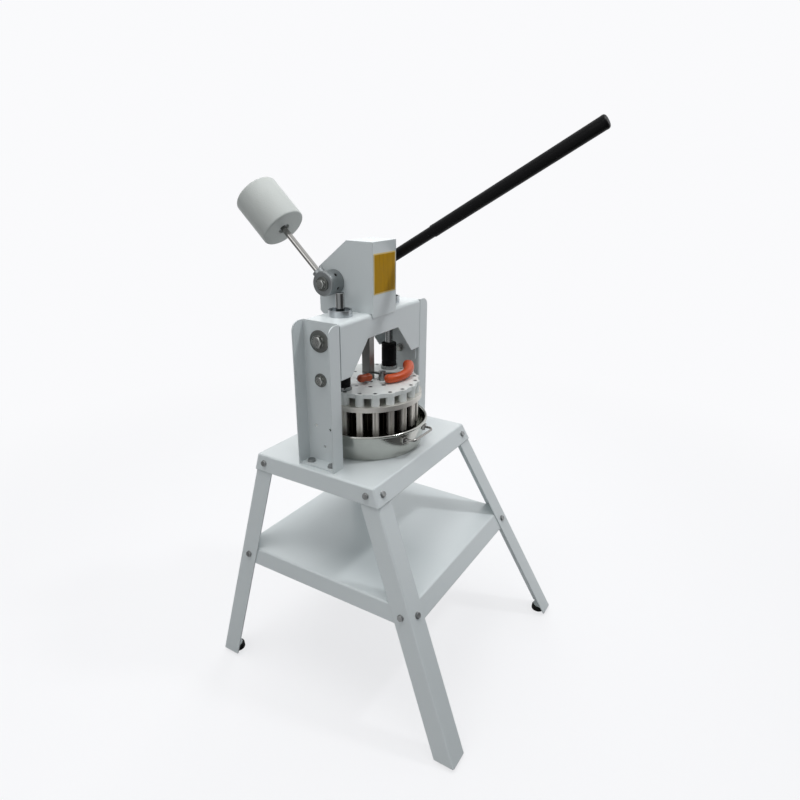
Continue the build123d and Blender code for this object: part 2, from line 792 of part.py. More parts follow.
first_edge = math.radians(tooth_places[0] - tooth_angle / 2)
last_edge = math.radians(tooth_places[-1] + tooth_angle / 2)
middle_edge = (first_edge + last_edge) / 2
with BuildPart() as sector_gear:
    with BuildSketch(pivot_flank):
        with BuildLine():
            rim = [
                (root_radius * math.cos(turn), root_radius * math.sin(turn))
                for turn in (first_edge, middle_edge, last_edge)
            ]
            ThreePointArc(*rim)
            Polyline(rim[2], (0, 0), rim[0])
        make_face()
        with Locations(*[Location((0, 0, 0), (0, 0, turn)) for turn in tooth_places]):
            add(tooth.sketch)
        Circle(gear_hub_diameter / 2)
        Circle(shaft_diameter / 2 + seat_fit, mode=Mode.SUBTRACT)
        with Locations((shaft_diameter / 2, 0)):
            Rectangle(key_size, key_size, mode=Mode.SUBTRACT)
    extrude(amount=gear_width / 2, both=True)
sector_gear.part.label = "sector_gear"
export_step(sector_gear.part, "parts/sector_gear.step")

# Planes across the counterweight rod and across the handle, with the origin on the pivot axis
rod_plane = Plane((-rod_x, axis_y + pivot_y, pivot_z), (1, 0, 0), (0, rod_run, rod_rise))
handle_plane = Plane((handle_x, axis_y + pivot_y, pivot_z), (1, 0, 0), (0, -handle_run, handle_rise))
hub_start = housing_half + hub_gap
shank_start = shaft_diameter / 2 + 2 * sheet
hub_screws = {-1: (weight_screw_x, weight_screw_turns), 1: (handle_screw_x, handle_screw_turns)}
set_screw_out = hub_diameter / 2 - set_screw_diameter / 4
set_screw_in = set_screw_out - set_screw_length


def set_screw_planes(side):
    """Planes across a hub's set screws, with the origin on the pivot axis."""
    planes = []
    screw_x, turns = hub_screws[side]
    for turn in turns:
        run = math.cos(math.radians(turn))
        rise = math.sin(math.radians(turn))
        origin = (side * screw_x, axis_y + pivot_y, pivot_z)
        planes.append(Plane(origin, (1, 0, 0), (0, run, rise)))
    return planes


# Hubs at the two ends of the shaft, each with a socket for its arm
hubs = (
    (-1, "weight_hub", rod_plane, rod_diameter, rod_boss_diameter, rod_boss_reach),
    (1, "handle_hub", handle_plane, handle_bar_diameter, handle_boss_diameter, handle_boss_reach),
)
for side, hub_name, plane, arm_diameter, boss_diameter, boss_reach in hubs:
    with BuildPart() as hub:
        with BuildSketch(pivot_flank.offset(side * hub_start)):
            Circle(hub_diameter / 2)
        extrude(amount=side * (hub_end - hub_start))
        fillet(hub.edges().group_by(Axis.X)[0 if side < 0 else -1], sheet)
        with BuildSketch(plane):
            Circle(boss_diameter / 2)
        extrude(amount=boss_reach)
        with BuildSketch(plane.offset(shank_start)):
            Circle(arm_diameter / 2 + seat_fit)
        extrude(amount=boss_reach, mode=Mode.SUBTRACT)
        for screw_plane in set_screw_planes(side):
            with BuildSketch(screw_plane.offset(set_screw_in)):
                Circle(set_screw_diameter / 2 + seat_fit)
            extrude(amount=hub_diameter / 2, mode=Mode.SUBTRACT)
        with BuildSketch(pivot_flank.offset(side * hub_start)):
            Circle(shaft_diameter / 2 + seat_fit)
        extrude(amount=side * (hub_end - hub_start), mode=Mode.SUBTRACT)
    hub.part.label = hub_name
    export_step(hub.part, f"parts/{hub_name}.step")

# Bolts with washers at the ends of the shaft
with BuildPart() as hub_end_bolts:
    for side, _ in sides:
        with BuildSketch(pivot_flank.offset(side * hub_end)):
            Circle(end_washer_diameter / 2)
        extrude(amount=side * washer_thickness)
        with BuildSketch(pivot_flank.offset(side * (hub_end + washer_thickness))):
            RegularPolygon(hex_width(end_bolt_diameter) / 2, 6, major_radius=False)
        extrude(amount=side * head_height(end_bolt_diameter))
        with BuildSketch(pivot_flank.offset(side * hub_end)):
            Circle(end_bolt_diameter / 2)
        extrude(amount=-side * (shaft_diameter - bolt_end))
hub_end_bolts.part.label = "hub_end_bolts"
export_step(hub_end_bolts.part, "parts/hub_end_bolts.step")

# Set screws with hexagon sockets in both hubs
with BuildPart() as hub_set_screws:
    for side, _ in sides:
        for screw_plane in set_screw_planes(side):
            with BuildSketch(screw_plane.offset(set_screw_in)):
                Circle(set_screw_diameter / 2)
            extrude(amount=set_screw_length)
            with BuildSketch(screw_plane.offset(set_screw_out)):
                RegularPolygon(set_screw_diameter / 4, 6, major_radius=False)
            extrude(amount=-set_screw_diameter / 2, mode=Mode.SUBTRACT)
hub_set_screws.part.label = "hub_set_screws"
export_step(hub_set_screws.part, "parts/hub_set_screws.step")

# Counterweight rod, its lock nut and the counterweight
nut_seat = weight_start + weight_counterbore_depth
with BuildPart() as counterweight_rod:
    with BuildSketch(rod_plane.offset(shank_start)):
        Circle(rod_diameter / 2)
    extrude(amount=weight_start + rod_grip - shank_start)
counterweight_rod.part.label = "counterweight_rod"
export_step(counterweight_rod.part, "parts/counterweight_rod.step")

with BuildPart() as rod_lock_nut:
    with BuildSketch(rod_plane.offset(nut_seat - rod_nut_height)):
        RegularPolygon(rod_nut_width / 2, 6, major_radius=False)
        Circle(rod_diameter / 2 + seat_fit, mode=Mode.SUBTRACT)
    extrude(amount=rod_nut_height)
rod_lock_nut.part.label = "rod_lock_nut"
export_step(rod_lock_nut.part, "parts/rod_lock_nut.step")

with BuildPart() as counterweight:
    with BuildSketch(rod_plane.offset(weight_start)):
        Circle(weight_diameter / 2)
    extrude(amount=weight_length)
    fillet(counterweight.edges().filter_by(GeomType.CIRCLE), weight_edge)
    with BuildSketch(rod_plane.offset(weight_start)):
        Circle(weight_counterbore / 2)
    extrude(amount=weight_counterbore_depth, mode=Mode.SUBTRACT)
    with BuildSketch(rod_plane.offset(weight_start)):
        Circle(rod_diameter / 2 + seat_fit)
    extrude(amount=rod_grip, mode=Mode.SUBTRACT)
counterweight.part.label = "counterweight"
export_step(counterweight.part, "parts/counterweight.step")

# Handle bar, the sleeve that lengthens it and the cap in its end
sleeve_bore = handle_bar_diameter / 2 + seat_fit
with BuildPart() as handle_bar:
    with BuildSketch(handle_plane.offset(shank_start)):
        Circle(handle_bar_diameter / 2)
    extrude(amount=handle_bar_end - shank_start)
handle_bar.part.label = "handle_bar"
export_step(handle_bar.part, "parts/handle_bar.step")

with BuildPart() as handle_sleeve:
    with BuildSketch(handle_plane.offset(handle_sleeve_start)):
        Circle(handle_sleeve_diameter / 2)
        Circle(sleeve_bore, mode=Mode.SUBTRACT)
    extrude(amount=cap_start - handle_sleeve_start)
handle_sleeve.part.label = "handle_sleeve"
export_step(handle_sleeve.part, "parts/handle_sleeve.step")

with BuildPart() as handle_cap:
    with BuildSketch(handle_plane.offset(cap_start)):
        Circle(cap_radius)
    extrude(amount=cap_length)
    handle_axis = Axis(handle_plane.origin, handle_plane.z_dir)
    fillet(handle_cap.faces().sort_by(handle_axis)[-1].edges(), cap_corner)
    with BuildSketch(handle_plane.offset(cap_start)):
        Circle(sleeve_bore - seat_fit)
    extrude(amount=-cap_plug_length)
handle_cap.part.label = "handle_cap"
export_step(handle_cap.part, "parts/handle_cap.step")

# Rack column on the knife carrier
space_half = tooth_pitch / 2 - tooth_half
space_mouth = space_half + gear_module * math.tan(pressure)
space_floor = space_half - 1.25 * gear_module * math.tan(pressure)
tip_chord = math.sqrt(tip_radius**2 - (pitch_radius - gear_module) ** 2)
spaces_below = math.ceil((stroke_up + tip_chord) / tooth_pitch)
spaces_above = math.floor((stroke_down + rack_lead - space_mouth) / tooth_pitch)
with BuildPart() as rack_column:
    with BuildSketch(plan.offset(carrier_top)):
        with Locations((0, column_middle)):
            Rectangle(column_width, column_depth)
    extrude(amount=rack_top - carrier_top)
    with BuildSketch(flank):
        for step in range(-spaces_below, spaces_above + 1):
            level = pivot_z + step * tooth_pitch
            with BuildLine():
                Polyline(
                    (column_back, level + space_mouth),
                    (rack_root, level + space_floor),
                    (rack_root, level - space_floor),
                    (column_back, level - space_mouth),
                    close=True,
                )
            make_face()
    extrude(amount=column_width, both=True, mode=Mode.SUBTRACT)
rack_column.part.label = "rack_column"
export_step(rack_column.part, "parts/rack_column.step")

# Collar that holds the column's lower end on the carrier
with BuildPart() as column_foot:
    with BuildSketch(plan.offset(carrier_top)):
        Circle(column_foot_diameter / 2)
        with Locations((0, column_middle)):
            Rectangle(column_width + 2 * running_fit, column_depth + 2 * running_fit, mode=Mode.SUBTRACT)
    extrude(amount=column_foot_height)
column_foot.part.label = "column_foot"
export_step(column_foot.part, "parts/column_foot.step")

# Cells of the head: count, first angle, pitch radius, stem section (radial, tangential) and spacer diameter
cell_rings = (
    (outer_cells, outer_turn, outer_pitch, outer_stem, outer_spacer),
    (middle_cells, middle_turn, middle_pitch, middle_stem, middle_spacer),
    (inner_cells, inner_turn, inner_pitch, inner_stem, inner_spacer),
)

# Knife carrier: a plate with one slot for each press stem
with BuildPart() as knife_carrier:
    with BuildSketch(plan.offset(carrier_bottom)):
        Circle(carrier_radius)
        for count, turn, pitch, stem, _ in cell_rings:
            with PolarLocations(pitch, count, turn):
                Rectangle(stem[0] + 2 * stem_clearance, stem[1] + 2 * stem_clearance, mode=Mode.SUBTRACT)
    extrude(amount=carrier_thickness)
knife_carrier.part.label = "knife_carrier"
export_step(knife_carrier.part, "parts/knife_carrier.step")

# Knives: radial blades half-way between the stems, and two ring blades
ring_half = knife_thickness / 2
ring_seat = ring_half + seat_gap
radial_knives = (
    ("outer_knives", outer_cells, outer_turn, outer_ring_radius + ring_seat, knife_radius),
    (
        "middle_knives",
        middle_cells,
        middle_turn,
        inner_ring_radius + ring_seat,
        outer_ring_radius - ring_seat,
    ),
)
for knife_name, count, turn, inner, outer in radial_knives:
    with BuildPart() as knives:
        with BuildSketch(plan.offset(knife_bottom)):
            with PolarLocations((inner + outer) / 2, count, turn + 180 / count):
                Rectangle(outer - inner, knife_thickness)
            Circle(outer, mode=Mode.INTERSECT)
            Circle(inner, mode=Mode.SUBTRACT)
        extrude(amount=knife_height)
    knives.part.label = knife_name
    export_step(knives.part, f"parts/{knife_name}.step")

with BuildPart() as inner_knife_cross:
    with BuildSketch(plan.offset(knife_bottom)):
        with PolarLocations(0, inner_cells, inner_turn + 180 / inner_cells):
            Rectangle(2 * inner_ring_radius, knife_thickness)
        Circle(inner_ring_radius - ring_seat, mode=Mode.INTERSECT)
    extrude(amount=knife_height)
inner_knife_cross.part.label = "inner_knife_cross"
export_step(inner_knife_cross.part, "parts/inner_knife_cross.step")

with BuildPart() as ring_knives:
    with BuildSketch(plan.offset(knife_bottom)):
        for radius in (outer_ring_radius, inner_ring_radius):
            Circle(radius + ring_half)
            Circle(radius - ring_half, mode=Mode.SUBTRACT)
    extrude(amount=knife_height)
ring_knives.part.label = "ring_knives"
export_step(ring_knives.part, "parts/ring_knives.step")

# Press blocks: one for each cell, clear of the knives around it
knife_strip = knife_thickness + 2 * block_clearance
strip_half = knife_strip / 2
block_rings = (
    (outer_cells, outer_turn, outer_ring_radius + strip_half, knife_radius - block_clearance),
    (middle_cells, middle_turn, inner_ring_radius + strip_half, outer_ring_radius - strip_half),
    (inner_cells, inner_turn, 0, inner_ring_radius - strip_half),
)
with BuildPart() as press_blocks:
    for count, turn, inner, outer in block_rings:
        with BuildSketch(plan.offset(knife_bottom)):
            Circle(outer)
            if inner:
                Circle(inner, mode=Mode.SUBTRACT)
            with PolarLocations(outer / 2, count, turn + 180 / count):
                Rectangle(outer + knife_strip, knife_strip, mode=Mode.SUBTRACT)
        extrude(amount=block_height)
press_blocks.part.label = "press_blocks"
export_step(press_blocks.part, "parts/press_blocks.step")

# Stems from the blocks up through the carrier, spacers above it and the screws that hold them to the disc
block_top = knife_bottom + block_height
screw_radius = press_screw_diameter / 2
with BuildPart() as press_stems:
    for count, turn, pitch, stem, _ in cell_rings:
        with BuildSketch(plan.offset(block_top)):
            with PolarLocations(pitch, count, turn):
                Rectangle(*stem)
        extrude(amount=spacer_bottom - block_top)
        with BuildSketch(plan.offset(spacer_bottom)):
            with PolarLocations(pitch, count, turn):
                Circle(screw_radius + seat_fit)
        extrude(amount=-press_screw_grip - bolt_end, mode=Mode.SUBTRACT)
press_stems.part.label = "press_stems"
export_step(press_stems.part, "parts/press_stems.step")

with BuildPart() as press_spacers:
    for count, turn, pitch, _, spacer in cell_rings:
        with BuildSketch(plan.offset(spacer_bottom)):
            with PolarLocations(pitch, count, turn):
                Circle(spacer / 2)
                Circle(screw_radius + bolt_clearance, mode=Mode.SUBTRACT)
        extrude(amount=spacer_height)
press_spacers.part.label = "press_spacers"
export_step(press_spacers.part, "parts/press_spacers.step")

screw_seat = disc_top - press_screw_head_height
with BuildPart() as press_screws:
    for count, turn, pitch, _, _ in cell_rings:
        with BuildSketch(plan.offset(screw_seat)):
            with PolarLocations(pitch, count, turn):
                Circle(press_screw_head / 2)
        extrude(amount=press_screw_head_height - seat_gap)
        with BuildSketch(plan.offset(disc_top - seat_gap)):
            with PolarLocations(pitch, count, turn):
                RegularPolygon(press_screw_diameter * 0.4, 6, major_radius=False)
        extrude(amount=-press_screw_head_height / 2, mode=Mode.SUBTRACT)
        with BuildSketch(plan.offset(screw_seat)):
            with PolarLocations(pitch, count, turn):
                Circle(screw_radius)
        extrude(amount=-(screw_seat - spacer_bottom + press_screw_grip))
press_screws.part.label = "press_screws"
export_step(press_screws.part, "parts/press_screws.step")

# Press disc with a lobe over each outer spacer
with BuildPart() as press_disc:
    with BuildSketch(plan.offset(disc_bottom)):
        Circle(disc_radius)
        with PolarLocations(outer_pitch, outer_cells, outer_turn):
            Circle(disc_lobe_radius)
        with Locations((0, column_middle)):
            Rectangle(
                column_width + 2 * opening_gap,
                column_depth + 2 * opening_gap,
                mode=Mode.SUBTRACT,
            )
        for count, turn, pitch, _, _ in cell_rings:
            with PolarLocations(pitch, count, turn):
                Circle(screw_radius + bolt_clearance, mode=Mode.SUBTRACT)
    extrude(amount=disc_thickness)
    for count, turn, pitch, _, _ in cell_rings:
        with BuildSketch(plan.offset(disc_top)):
            with PolarLocations(pitch, count, turn):
                Circle(press_screw_head / 2 + bolt_clearance)
        extrude(amount=-press_screw_head_height, mode=Mode.SUBTRACT)
press_disc.part.label = "press_disc"
export_step(press_disc.part, "parts/press_disc.step")

# Guide columns with a round foot on the disc, and the stop sleeves on them
for side, hand in sides:
    with BuildPart() as guide:
        with BuildSketch(plan.offset(disc_top)):
            with Locations((side * guide_x, guide_y)):
                Circle(guide_foot_diameter / 2)
        extrude(amount=guide_foot_height)
        with BuildSketch(plan.offset(disc_top)):
            with Locations((side * guide_x, guide_y)):
                Circle(guide_diameter / 2)
        extrude(amount=guide_length)
        chamfer(guide.edges().group_by(Axis.Z)[-1], opening_gap)
    guide_name = f"guide_{hand}"
    guide.part.label = guide_name
    export_step(guide.part, f"parts/{guide_name}.step")

with BuildPart() as stop_sleeves:
    with BuildSketch(plan.offset(sleeve_bottom)):
        with Locations((-guide_x, guide_y), (guide_x, guide_y)):
            Circle(stop_sleeve_diameter / 2)
            Circle(guide_diameter / 2 + seat_fit, mode=Mode.SUBTRACT)
    extrude(amount=stop_sleeve_length)
stop_sleeves.part.label = "stop_sleeves"
export_step(stop_sleeves.part, "parts/stop_sleeves.step")

# Lock levers: a base and a pin on the disc, a plate with a nose to the column, and a grip
lock_pivots = (right_lock_pivot, left_lock_pivot)
lock_base_top = disc_top + lock_base_height
lock_plate_bottom = lock_base_top + slide_gap
lock_plate_top = lock_plate_bottom + lock_plate_thickness
with BuildPart() as lock_bases:
    with BuildSketch(plan.offset(disc_top)):
        with Locations(*lock_pivots):
            Circle(lock_base_diameter / 2)
            Circle(lock_pin_diameter / 2 + seat_fit, mode=Mode.SUBTRACT)
    extrude(amount=lock_base_height)
lock_bases.part.label = "lock_bases"
export_step(lock_bases.part, "parts/lock_bases.step")

with BuildPart() as lock_pins:
    with BuildSketch(plan.offset(disc_top)):
        with Locations(*lock_pivots):
            Circle(lock_pin_diameter / 2)
    extrude(amount=lock_plate_top + slide_gap - disc_top)
    with BuildSketch(plan.offset(lock_plate_top + slide_gap)):
        with Locations(*lock_pivots):
            Circle(lock_pin_head / 2)
    extrude(amount=lock_pin_head_height)
lock_pins.part.label = "lock_pins"
export_step(lock_pins.part, "parts/lock_pins.step")

right_nose_end = (right_lock_pivot[0], -column_front - lock_nose_gap)
left_nose_end = (-column_width / 2 - lock_nose_gap, left_lock_pivot[1])
locks = (
    ("right", right_lock_pivot, right_nose_end, right_lock_arm),
    ("left", left_lock_pivot, left_nose_end, left_lock_arm),
)
lock_plates = {}
for hand, pivot, nose_end, arm_end in locks:
    with BuildPart() as lock_lever:
        with BuildSketch(plan.offset(lock_plate_bottom)):
            for tip, width in ((nose_end, lock_nose_width), (arm_end, lock_arm_width)):
                run = math.dist(pivot, tip)
                turn = math.degrees(math.atan2(tip[1] - pivot[1], tip[0] - pivot[0]))
                with Locations(Location((pivot[0], pivot[1], 0), (0, 0, turn))):
                    Rectangle(run, width, align=(Align.MIN, Align.CENTER))
            with Locations(pivot):
                Circle(lock_hub_diameter / 2)
                Circle(lock_pin_diameter / 2 + running_fit, mode=Mode.SUBTRACT)
        extrude(amount=lock_plate_thickness)
    lever_name = f"lock_lever_{hand}"
    lock_lever.part.label = lever_name
    export_step(lock_lever.part, f"parts/{lever_name}.step")
    lock_plates[hand] = lock_lever.part

with BuildPart() as lock_grip_right:
    with BuildLine(plan.offset(disc_top)) as bow:
        ThreePointArc(*right_grip_points)
    sections = []
    for place, diameter in enumerate(right_grip_diameters):
        with BuildSketch(Plane(bow.line @ place, z_dir=bow.line % place)) as grip_section:
            Circle(diameter / 2)
        sections.append(grip_section.sketch)
        with Locations(bow.line @ place):
            Sphere(diameter / 2)
    sweep(sections, path=bow.line, multisection=True)
    add(lock_plates["right"], mode=Mode.SUBTRACT)
lock_grip_right.part.label = "lock_grip_right"
export_step(lock_grip_right.part, "parts/lock_grip_right.step")

with BuildPart() as lock_grip_left:
    with BuildLine(plan.offset(disc_top)) as bar:
        Line(*left_grip_points)
    with BuildSketch(Plane(bar.line @ 0, z_dir=bar.line % 0)):
        Circle(left_grip_diameter / 2)
    sweep(path=bar.line)
    with Locations(bar.line @ 0, bar.line @ 1):
        Sphere(left_grip_diameter / 2)
    add(lock_plates["left"], mode=Mode.SUBTRACT)
lock_grip_left.part.label = "lock_grip_left"
export_step(lock_grip_left.part, "parts/lock_grip_left.step")

# Pan: a spun wall with a rolled rim, and a floor plate let into it
floor_radius = pan_base_radius - pan_corner
bead_radius = pan_bead_diameter / 2
bead_centre = (pan_rim_radius - bead_radius, table_height + pan_height - bead_radius)
wall_top = (bead_centre[0] - bead_radius + pan_wall, bead_centre[1])
with BuildPart() as pan:
    with BuildSketch(flank) as pan_section:
        with BuildLine():
            Polyline(
                (0, table_height),
                (pan_base_radius, table_height),
                wall_top,
                (wall_top[0] - pan_wall, wall_top[1]),
                (pan_base_radius - pan_wall, pan_floor),
                (0, pan_floor),
                close=True,
            )
        make_face()
        inner_corner = (pan_base_radius - pan_wall, pan_floor)
        outer_corner = (pan_base_radius, table_height)
        fillet(pan_section.vertices().sort_by_distance(inner_corner)[0], pan_corner - pan_wall)
        fillet(pan_section.vertices().sort_by_distance(outer_corner)[0], pan_corner)
        with Locations((floor_radius + running_fit / 2, table_height)):
            Rectangle(running_fit, 3 * pan_wall, mode=Mode.SUBTRACT)
        with Locations(bead_centre):
            Circle(bead_radius)
    revolve(axis=column_axis)
pan.part.label = "pan"
export_step(pan.part, "parts/pan.step")

# Wire loops at the front and rear of the pan, trimmed to its wall
loop_height = table_height + pan_handle_height
with BuildPart() as pan_handles:
    for end, _, _ in ends:
        with BuildLine(plan.offset(loop_height)) as loop:
            FilletPolyline(
                (-pan_handle_half, end * pan_base_radius / 2),
                (-pan_handle_half, end * pan_handle_reach),
                (pan_handle_half, end * pan_handle_reach),
                (pan_handle_half, end * pan_base_radius / 2),
                radius=pan_handle_bend,
            )
        with BuildSketch(Plane(loop.line @ 0, z_dir=loop.line % 0)):
            Circle(pan_handle_wire / 2)
        sweep(path=loop.line)
        wall_reach = math.sqrt(pan_base_radius**2 - pan_handle_half**2)
        with BuildSketch(plan.offset(loop_height)):
            with Locations((-pan_handle_half, end * wall_reach), (pan_handle_half, end * wall_reach)):
                Rectangle(pan_pad_size, 2 * pan_pad_size)
        extrude(amount=pan_pad_size / 2, both=True)
    with BuildSketch(flank):
        with BuildLine():
            Polyline(
                (0, table_height),
                (pan_base_radius, table_height),
                wall_top,
                (0, wall_top[1]),
                close=True,
            )
        make_face()
    revolve(axis=column_axis, mode=Mode.SUBTRACT)
pan_handles.part.label = "pan_handles"
export_step(pan_handles.part, "parts/pan_handles.step")
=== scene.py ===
import json
import logging
import math
from dataclasses import dataclass, field, replace
from enum import Enum
from functools import cached_property, reduce
from typing import Any, Sequence

import bmesh
import bpy
import numpy as np
from mathutils import Matrix, Vector


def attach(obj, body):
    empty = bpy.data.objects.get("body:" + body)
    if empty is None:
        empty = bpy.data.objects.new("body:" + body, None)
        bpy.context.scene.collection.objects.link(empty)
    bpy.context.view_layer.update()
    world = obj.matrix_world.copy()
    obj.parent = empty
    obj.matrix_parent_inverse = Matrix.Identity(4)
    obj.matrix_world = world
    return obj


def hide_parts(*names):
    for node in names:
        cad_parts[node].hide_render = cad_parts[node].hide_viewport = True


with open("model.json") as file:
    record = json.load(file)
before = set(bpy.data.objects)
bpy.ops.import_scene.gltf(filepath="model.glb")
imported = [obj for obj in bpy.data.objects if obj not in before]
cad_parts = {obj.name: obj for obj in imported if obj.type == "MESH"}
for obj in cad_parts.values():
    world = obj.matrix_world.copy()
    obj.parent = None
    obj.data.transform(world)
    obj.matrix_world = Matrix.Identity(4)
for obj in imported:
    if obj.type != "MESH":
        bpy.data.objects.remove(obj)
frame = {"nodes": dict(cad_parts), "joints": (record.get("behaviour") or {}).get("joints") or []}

Triple = tuple[float, float, float]
Pair = tuple[float, float]
Colour = Triple
Frames = np.ndarray | Sequence[np.ndarray]
Socket = bpy.types.NodeSocket

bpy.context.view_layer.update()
MM = 0.001
TURN = 2.0 * math.pi
ORIGIN = (0.0, 0.0, 0.0)
UP = (0, 0, 1)
ACROSS = (1, 0, 0)
SIDES = (-1, 1)
CORNERS = tuple((side, end) for side in SIDES for end in SIDES)
UPSIDE_DOWN = np.diag((1.0, -1.0, -1.0, 1.0))
MERGED = 2e-6  # points nearer to each other are one point, in metres
SLIVER = 1e-6  # thinner faces go, in metres
CRISP = math.radians(35.0)  # an edge that bends more stays crisp
CONE_RIM = 0.47  # radius of a hexagon's flat end, as a share of its width
CONE_SLOPE = math.tan(math.radians(30))  # slope of the cone that cuts its corners
WASHER = 3.0  # thickness of the flat washers in millimetres
LEAST_RADIUS = 1e-5  # radius of a corner that stays sharp, in millimetres
STRAIGHT = 0.999999  # cosine past which two sides count as one line
log = logging.getLogger("dough_divider")


def paint(red: int, green: int, blue: int) -> Colour:
    """Linear colour of a paint chip whose red, green and blue are given from 0 to 255."""
    return tuple(
        c / 12.92 if c <= 0.04045 else ((c + 0.055) / 1.055) ** 2.4
        for c in (red / 255, green / 255, blue / 255)
    )


# Surfaces


@dataclass
class Surface:
    """Points in millimetres and the quads that join them."""

    points: np.ndarray
    quads: np.ndarray

    @staticmethod
    def grid(points: np.ndarray, closed: bool = False) -> "Surface":
        """Joins each point of a grid to the next row and column.

        Args:
            points: Array (rows, columns, 3); the last column joins the first.
            closed: True where the last row joins the first too.

        Returns:
            The surface.
        """
        rows, columns = points.shape[:2]
        row = np.arange(rows if closed else rows - 1)
        a, b = np.meshgrid(row, np.arange(columns), indexing="ij")
        c, d = (a + 1) % rows, (b + 1) % columns
        corners = (a * columns + b, a * columns + d, c * columns + d, c * columns + b)
        return Surface(points.reshape(-1, 3), np.stack(corners, axis=-1).reshape(-1, 4))

    @staticmethod
    def joined(*parts: "Surface") -> "Surface":
        """Puts surfaces together.

        Args:
            parts: Surfaces in one frame.

        Returns:
            One surface, with the parts' points in their order.
        """
        starts = np.cumsum([0] + [len(p.points) for p in parts[:-1]])
        quads = [p.quads + start for p, start in zip(parts, starts)]
        return Surface(np.concatenate([p.points for p in parts]), np.concatenate(quads))

    def placed(self, frames: Frames) -> "Surface":
        """Copies of the surface, one for each frame.

        Args:
            frames: One frame or several; each copy is rotation times point plus origin.

        Returns:
            One surface that holds all the copies.
        """
        frames = np.asarray(frames, float).reshape(-1, 4, 4)
        moved = np.einsum("kij,nj->kni", frames[:, :3, :3], self.points) + frames[:, None, :3, 3]
        shift = np.arange(len(frames))[:, None, None] * len(self.points)
        return Surface(moved.reshape(-1, 3), (self.quads[None] + shift).reshape(-1, 4))

    def raised(self, height: float) -> "Surface":
        """The surface moved along its own Z."""
        return Surface(self.points + np.array((0.0, 0.0, height)), self.quads)

    def piece(self, name: str) -> bpy.types.Object:
        """Makes the Blender object, with doubled points merged and faces turned outwards.

        Args:
            name: Name of the piece.

        Returns:
            The object, at the origin, with its place in its mesh.
        """
        mesh = bpy.data.meshes.new(name)
        mesh.vertices.add(len(self.points))
        mesh.vertices.foreach_set("co", (self.points * MM).astype(np.float32).ravel())
        mesh.loops.add(self.quads.size)
        mesh.loops.foreach_set("vertex_index", self.quads.astype(np.int32).ravel())
        mesh.polygons.add(len(self.quads))
        starts = np.arange(0, self.quads.size, 4, dtype=np.int32)
        mesh.polygons.foreach_set("loop_start", starts)
        mesh.update(calc_edges=True)
        made = bmesh.new()
        made.from_mesh(mesh)
        bmesh.ops.remove_doubles(made, verts=made.verts, dist=MERGED)
        bmesh.ops.dissolve_degenerate(made, edges=made.edges, dist=SLIVER)
        bmesh.ops.recalc_face_normals(made, faces=made.faces)
        made.to_mesh(mesh)
        made.free()
        mesh.validate()
        mesh.polygons.foreach_set("use_smooth", np.ones(len(mesh.polygons), dtype=bool))
        mesh.set_sharp_from_angle(angle=CRISP)
        made_object = bpy.data.objects.new(name, mesh)
        bpy.context.scene.collection.objects.link(made_object)
        return made_object


def rounded(
    corners: Sequence[Sequence[float]], closed: bool = False, steps: int = 6
) -> np.ndarray:
    """Polyline whose corners are arcs.

    At each corner the two sides' unit vectors u and v meet at angle f. The arc of radius r
    starts r / tan(f / 2) away from the corner along u and ends as far along v, and it is swept
    by turning the spoke of one end into that of the other.

    Args:
        corners: Rows of (x, y, radius).
        closed: True where the last corner joins the first.
        steps: Points on each arc.

    Returns:
        Array (n, 2) of points.
    """
    table = np.asarray(corners, float)
    at, radius = table[:, :2], np.maximum(table[:, 2], LEAST_RADIUS)
    to_last, to_next = np.roll(at, 1, axis=0) - at, np.roll(at, -1, axis=0) - at
    inner = slice(None) if closed else slice(1, -1)
    u = to_last[inner] / np.linalg.norm(to_last[inner], axis=1, keepdims=True)
    v = to_next[inner] / np.linalg.norm(to_next[inner], axis=1, keepdims=True)
    fold = np.arccos(np.clip(np.sum(u * v, axis=1), -STRAIGHT, STRAIGHT))
    corner, bend = at[inner], radius[inner]
    reach = (bend / np.tan(fold / 2))[:, None]
    middle = (u + v) / np.linalg.norm(u + v, axis=1, keepdims=True)
    centre = corner + middle * (bend / np.sin(fold / 2))[:, None]
    first, last = corner + u * reach - centre, corner + v * reach - centre
    sweep = (math.pi - fold)[:, None, None]
    t = np.linspace(0.0, 1.0, steps)[None, :, None]
    spokes = np.sin((1 - t) * sweep) * first[:, None] + np.sin(t * sweep) * last[:, None]
    spokes /= np.sin(sweep)
    arcs = (centre[:, None] + spokes).reshape(-1, 2)
    return arcs if closed else np.concatenate((at[:1], arcs, at[-1:]))


def rounded_box(half_x: float, half_y: float, radius: float, steps: int = 6) -> np.ndarray:
    """Outline of a box with rounded corners, counter-clockwise about its middle."""
    ways = ((-1, -1), (1, -1), (1, 1), (-1, 1))
    return rounded([(x * half_x, y * half_y, radius) for x, y in ways], True, steps)


def angles(count: int) -> np.ndarray:
    """Equal steps once round."""
    return np.linspace(0.0, TURN, count, endpoint=False)


def round_z(
    radius: np.ndarray, height: np.ndarray, angle: np.ndarray, closed: bool = False
) -> Surface:
    """Rings round Z, by x = r cos a, y = r sin a, z = h, one for each row of r and h."""
    points = (radius * np.cos(angle), radius * np.sin(angle), height + 0.0 * angle)
    return Surface.grid(np.stack(points, axis=-1), closed)


def revolved(profile: np.ndarray, segments: int = 48, closed: bool = False) -> Surface:
    """Carries a profile of (radius, height) round Z; closed joins its last point to its first."""
    return round_z(profile[:, :1], profile[:, 1:], angles(segments), closed)


def rows_round(angle: np.ndarray, *rows: tuple[Any, Any]) -> Surface:
    """Rings round Z that are not all round.

    Args:
        angle: Array (n,) of angles.
        rows: Radius and height of each ring, one number or one for each angle.

    Returns:
        The surface.
    """
    spread = [[np.broadcast_to(np.asarray(v, float), angle.shape) for v in row] for row in rows]
    radius, height = (np.stack(column) for column in zip(*spread))
    return round_z(radius, height, angle)


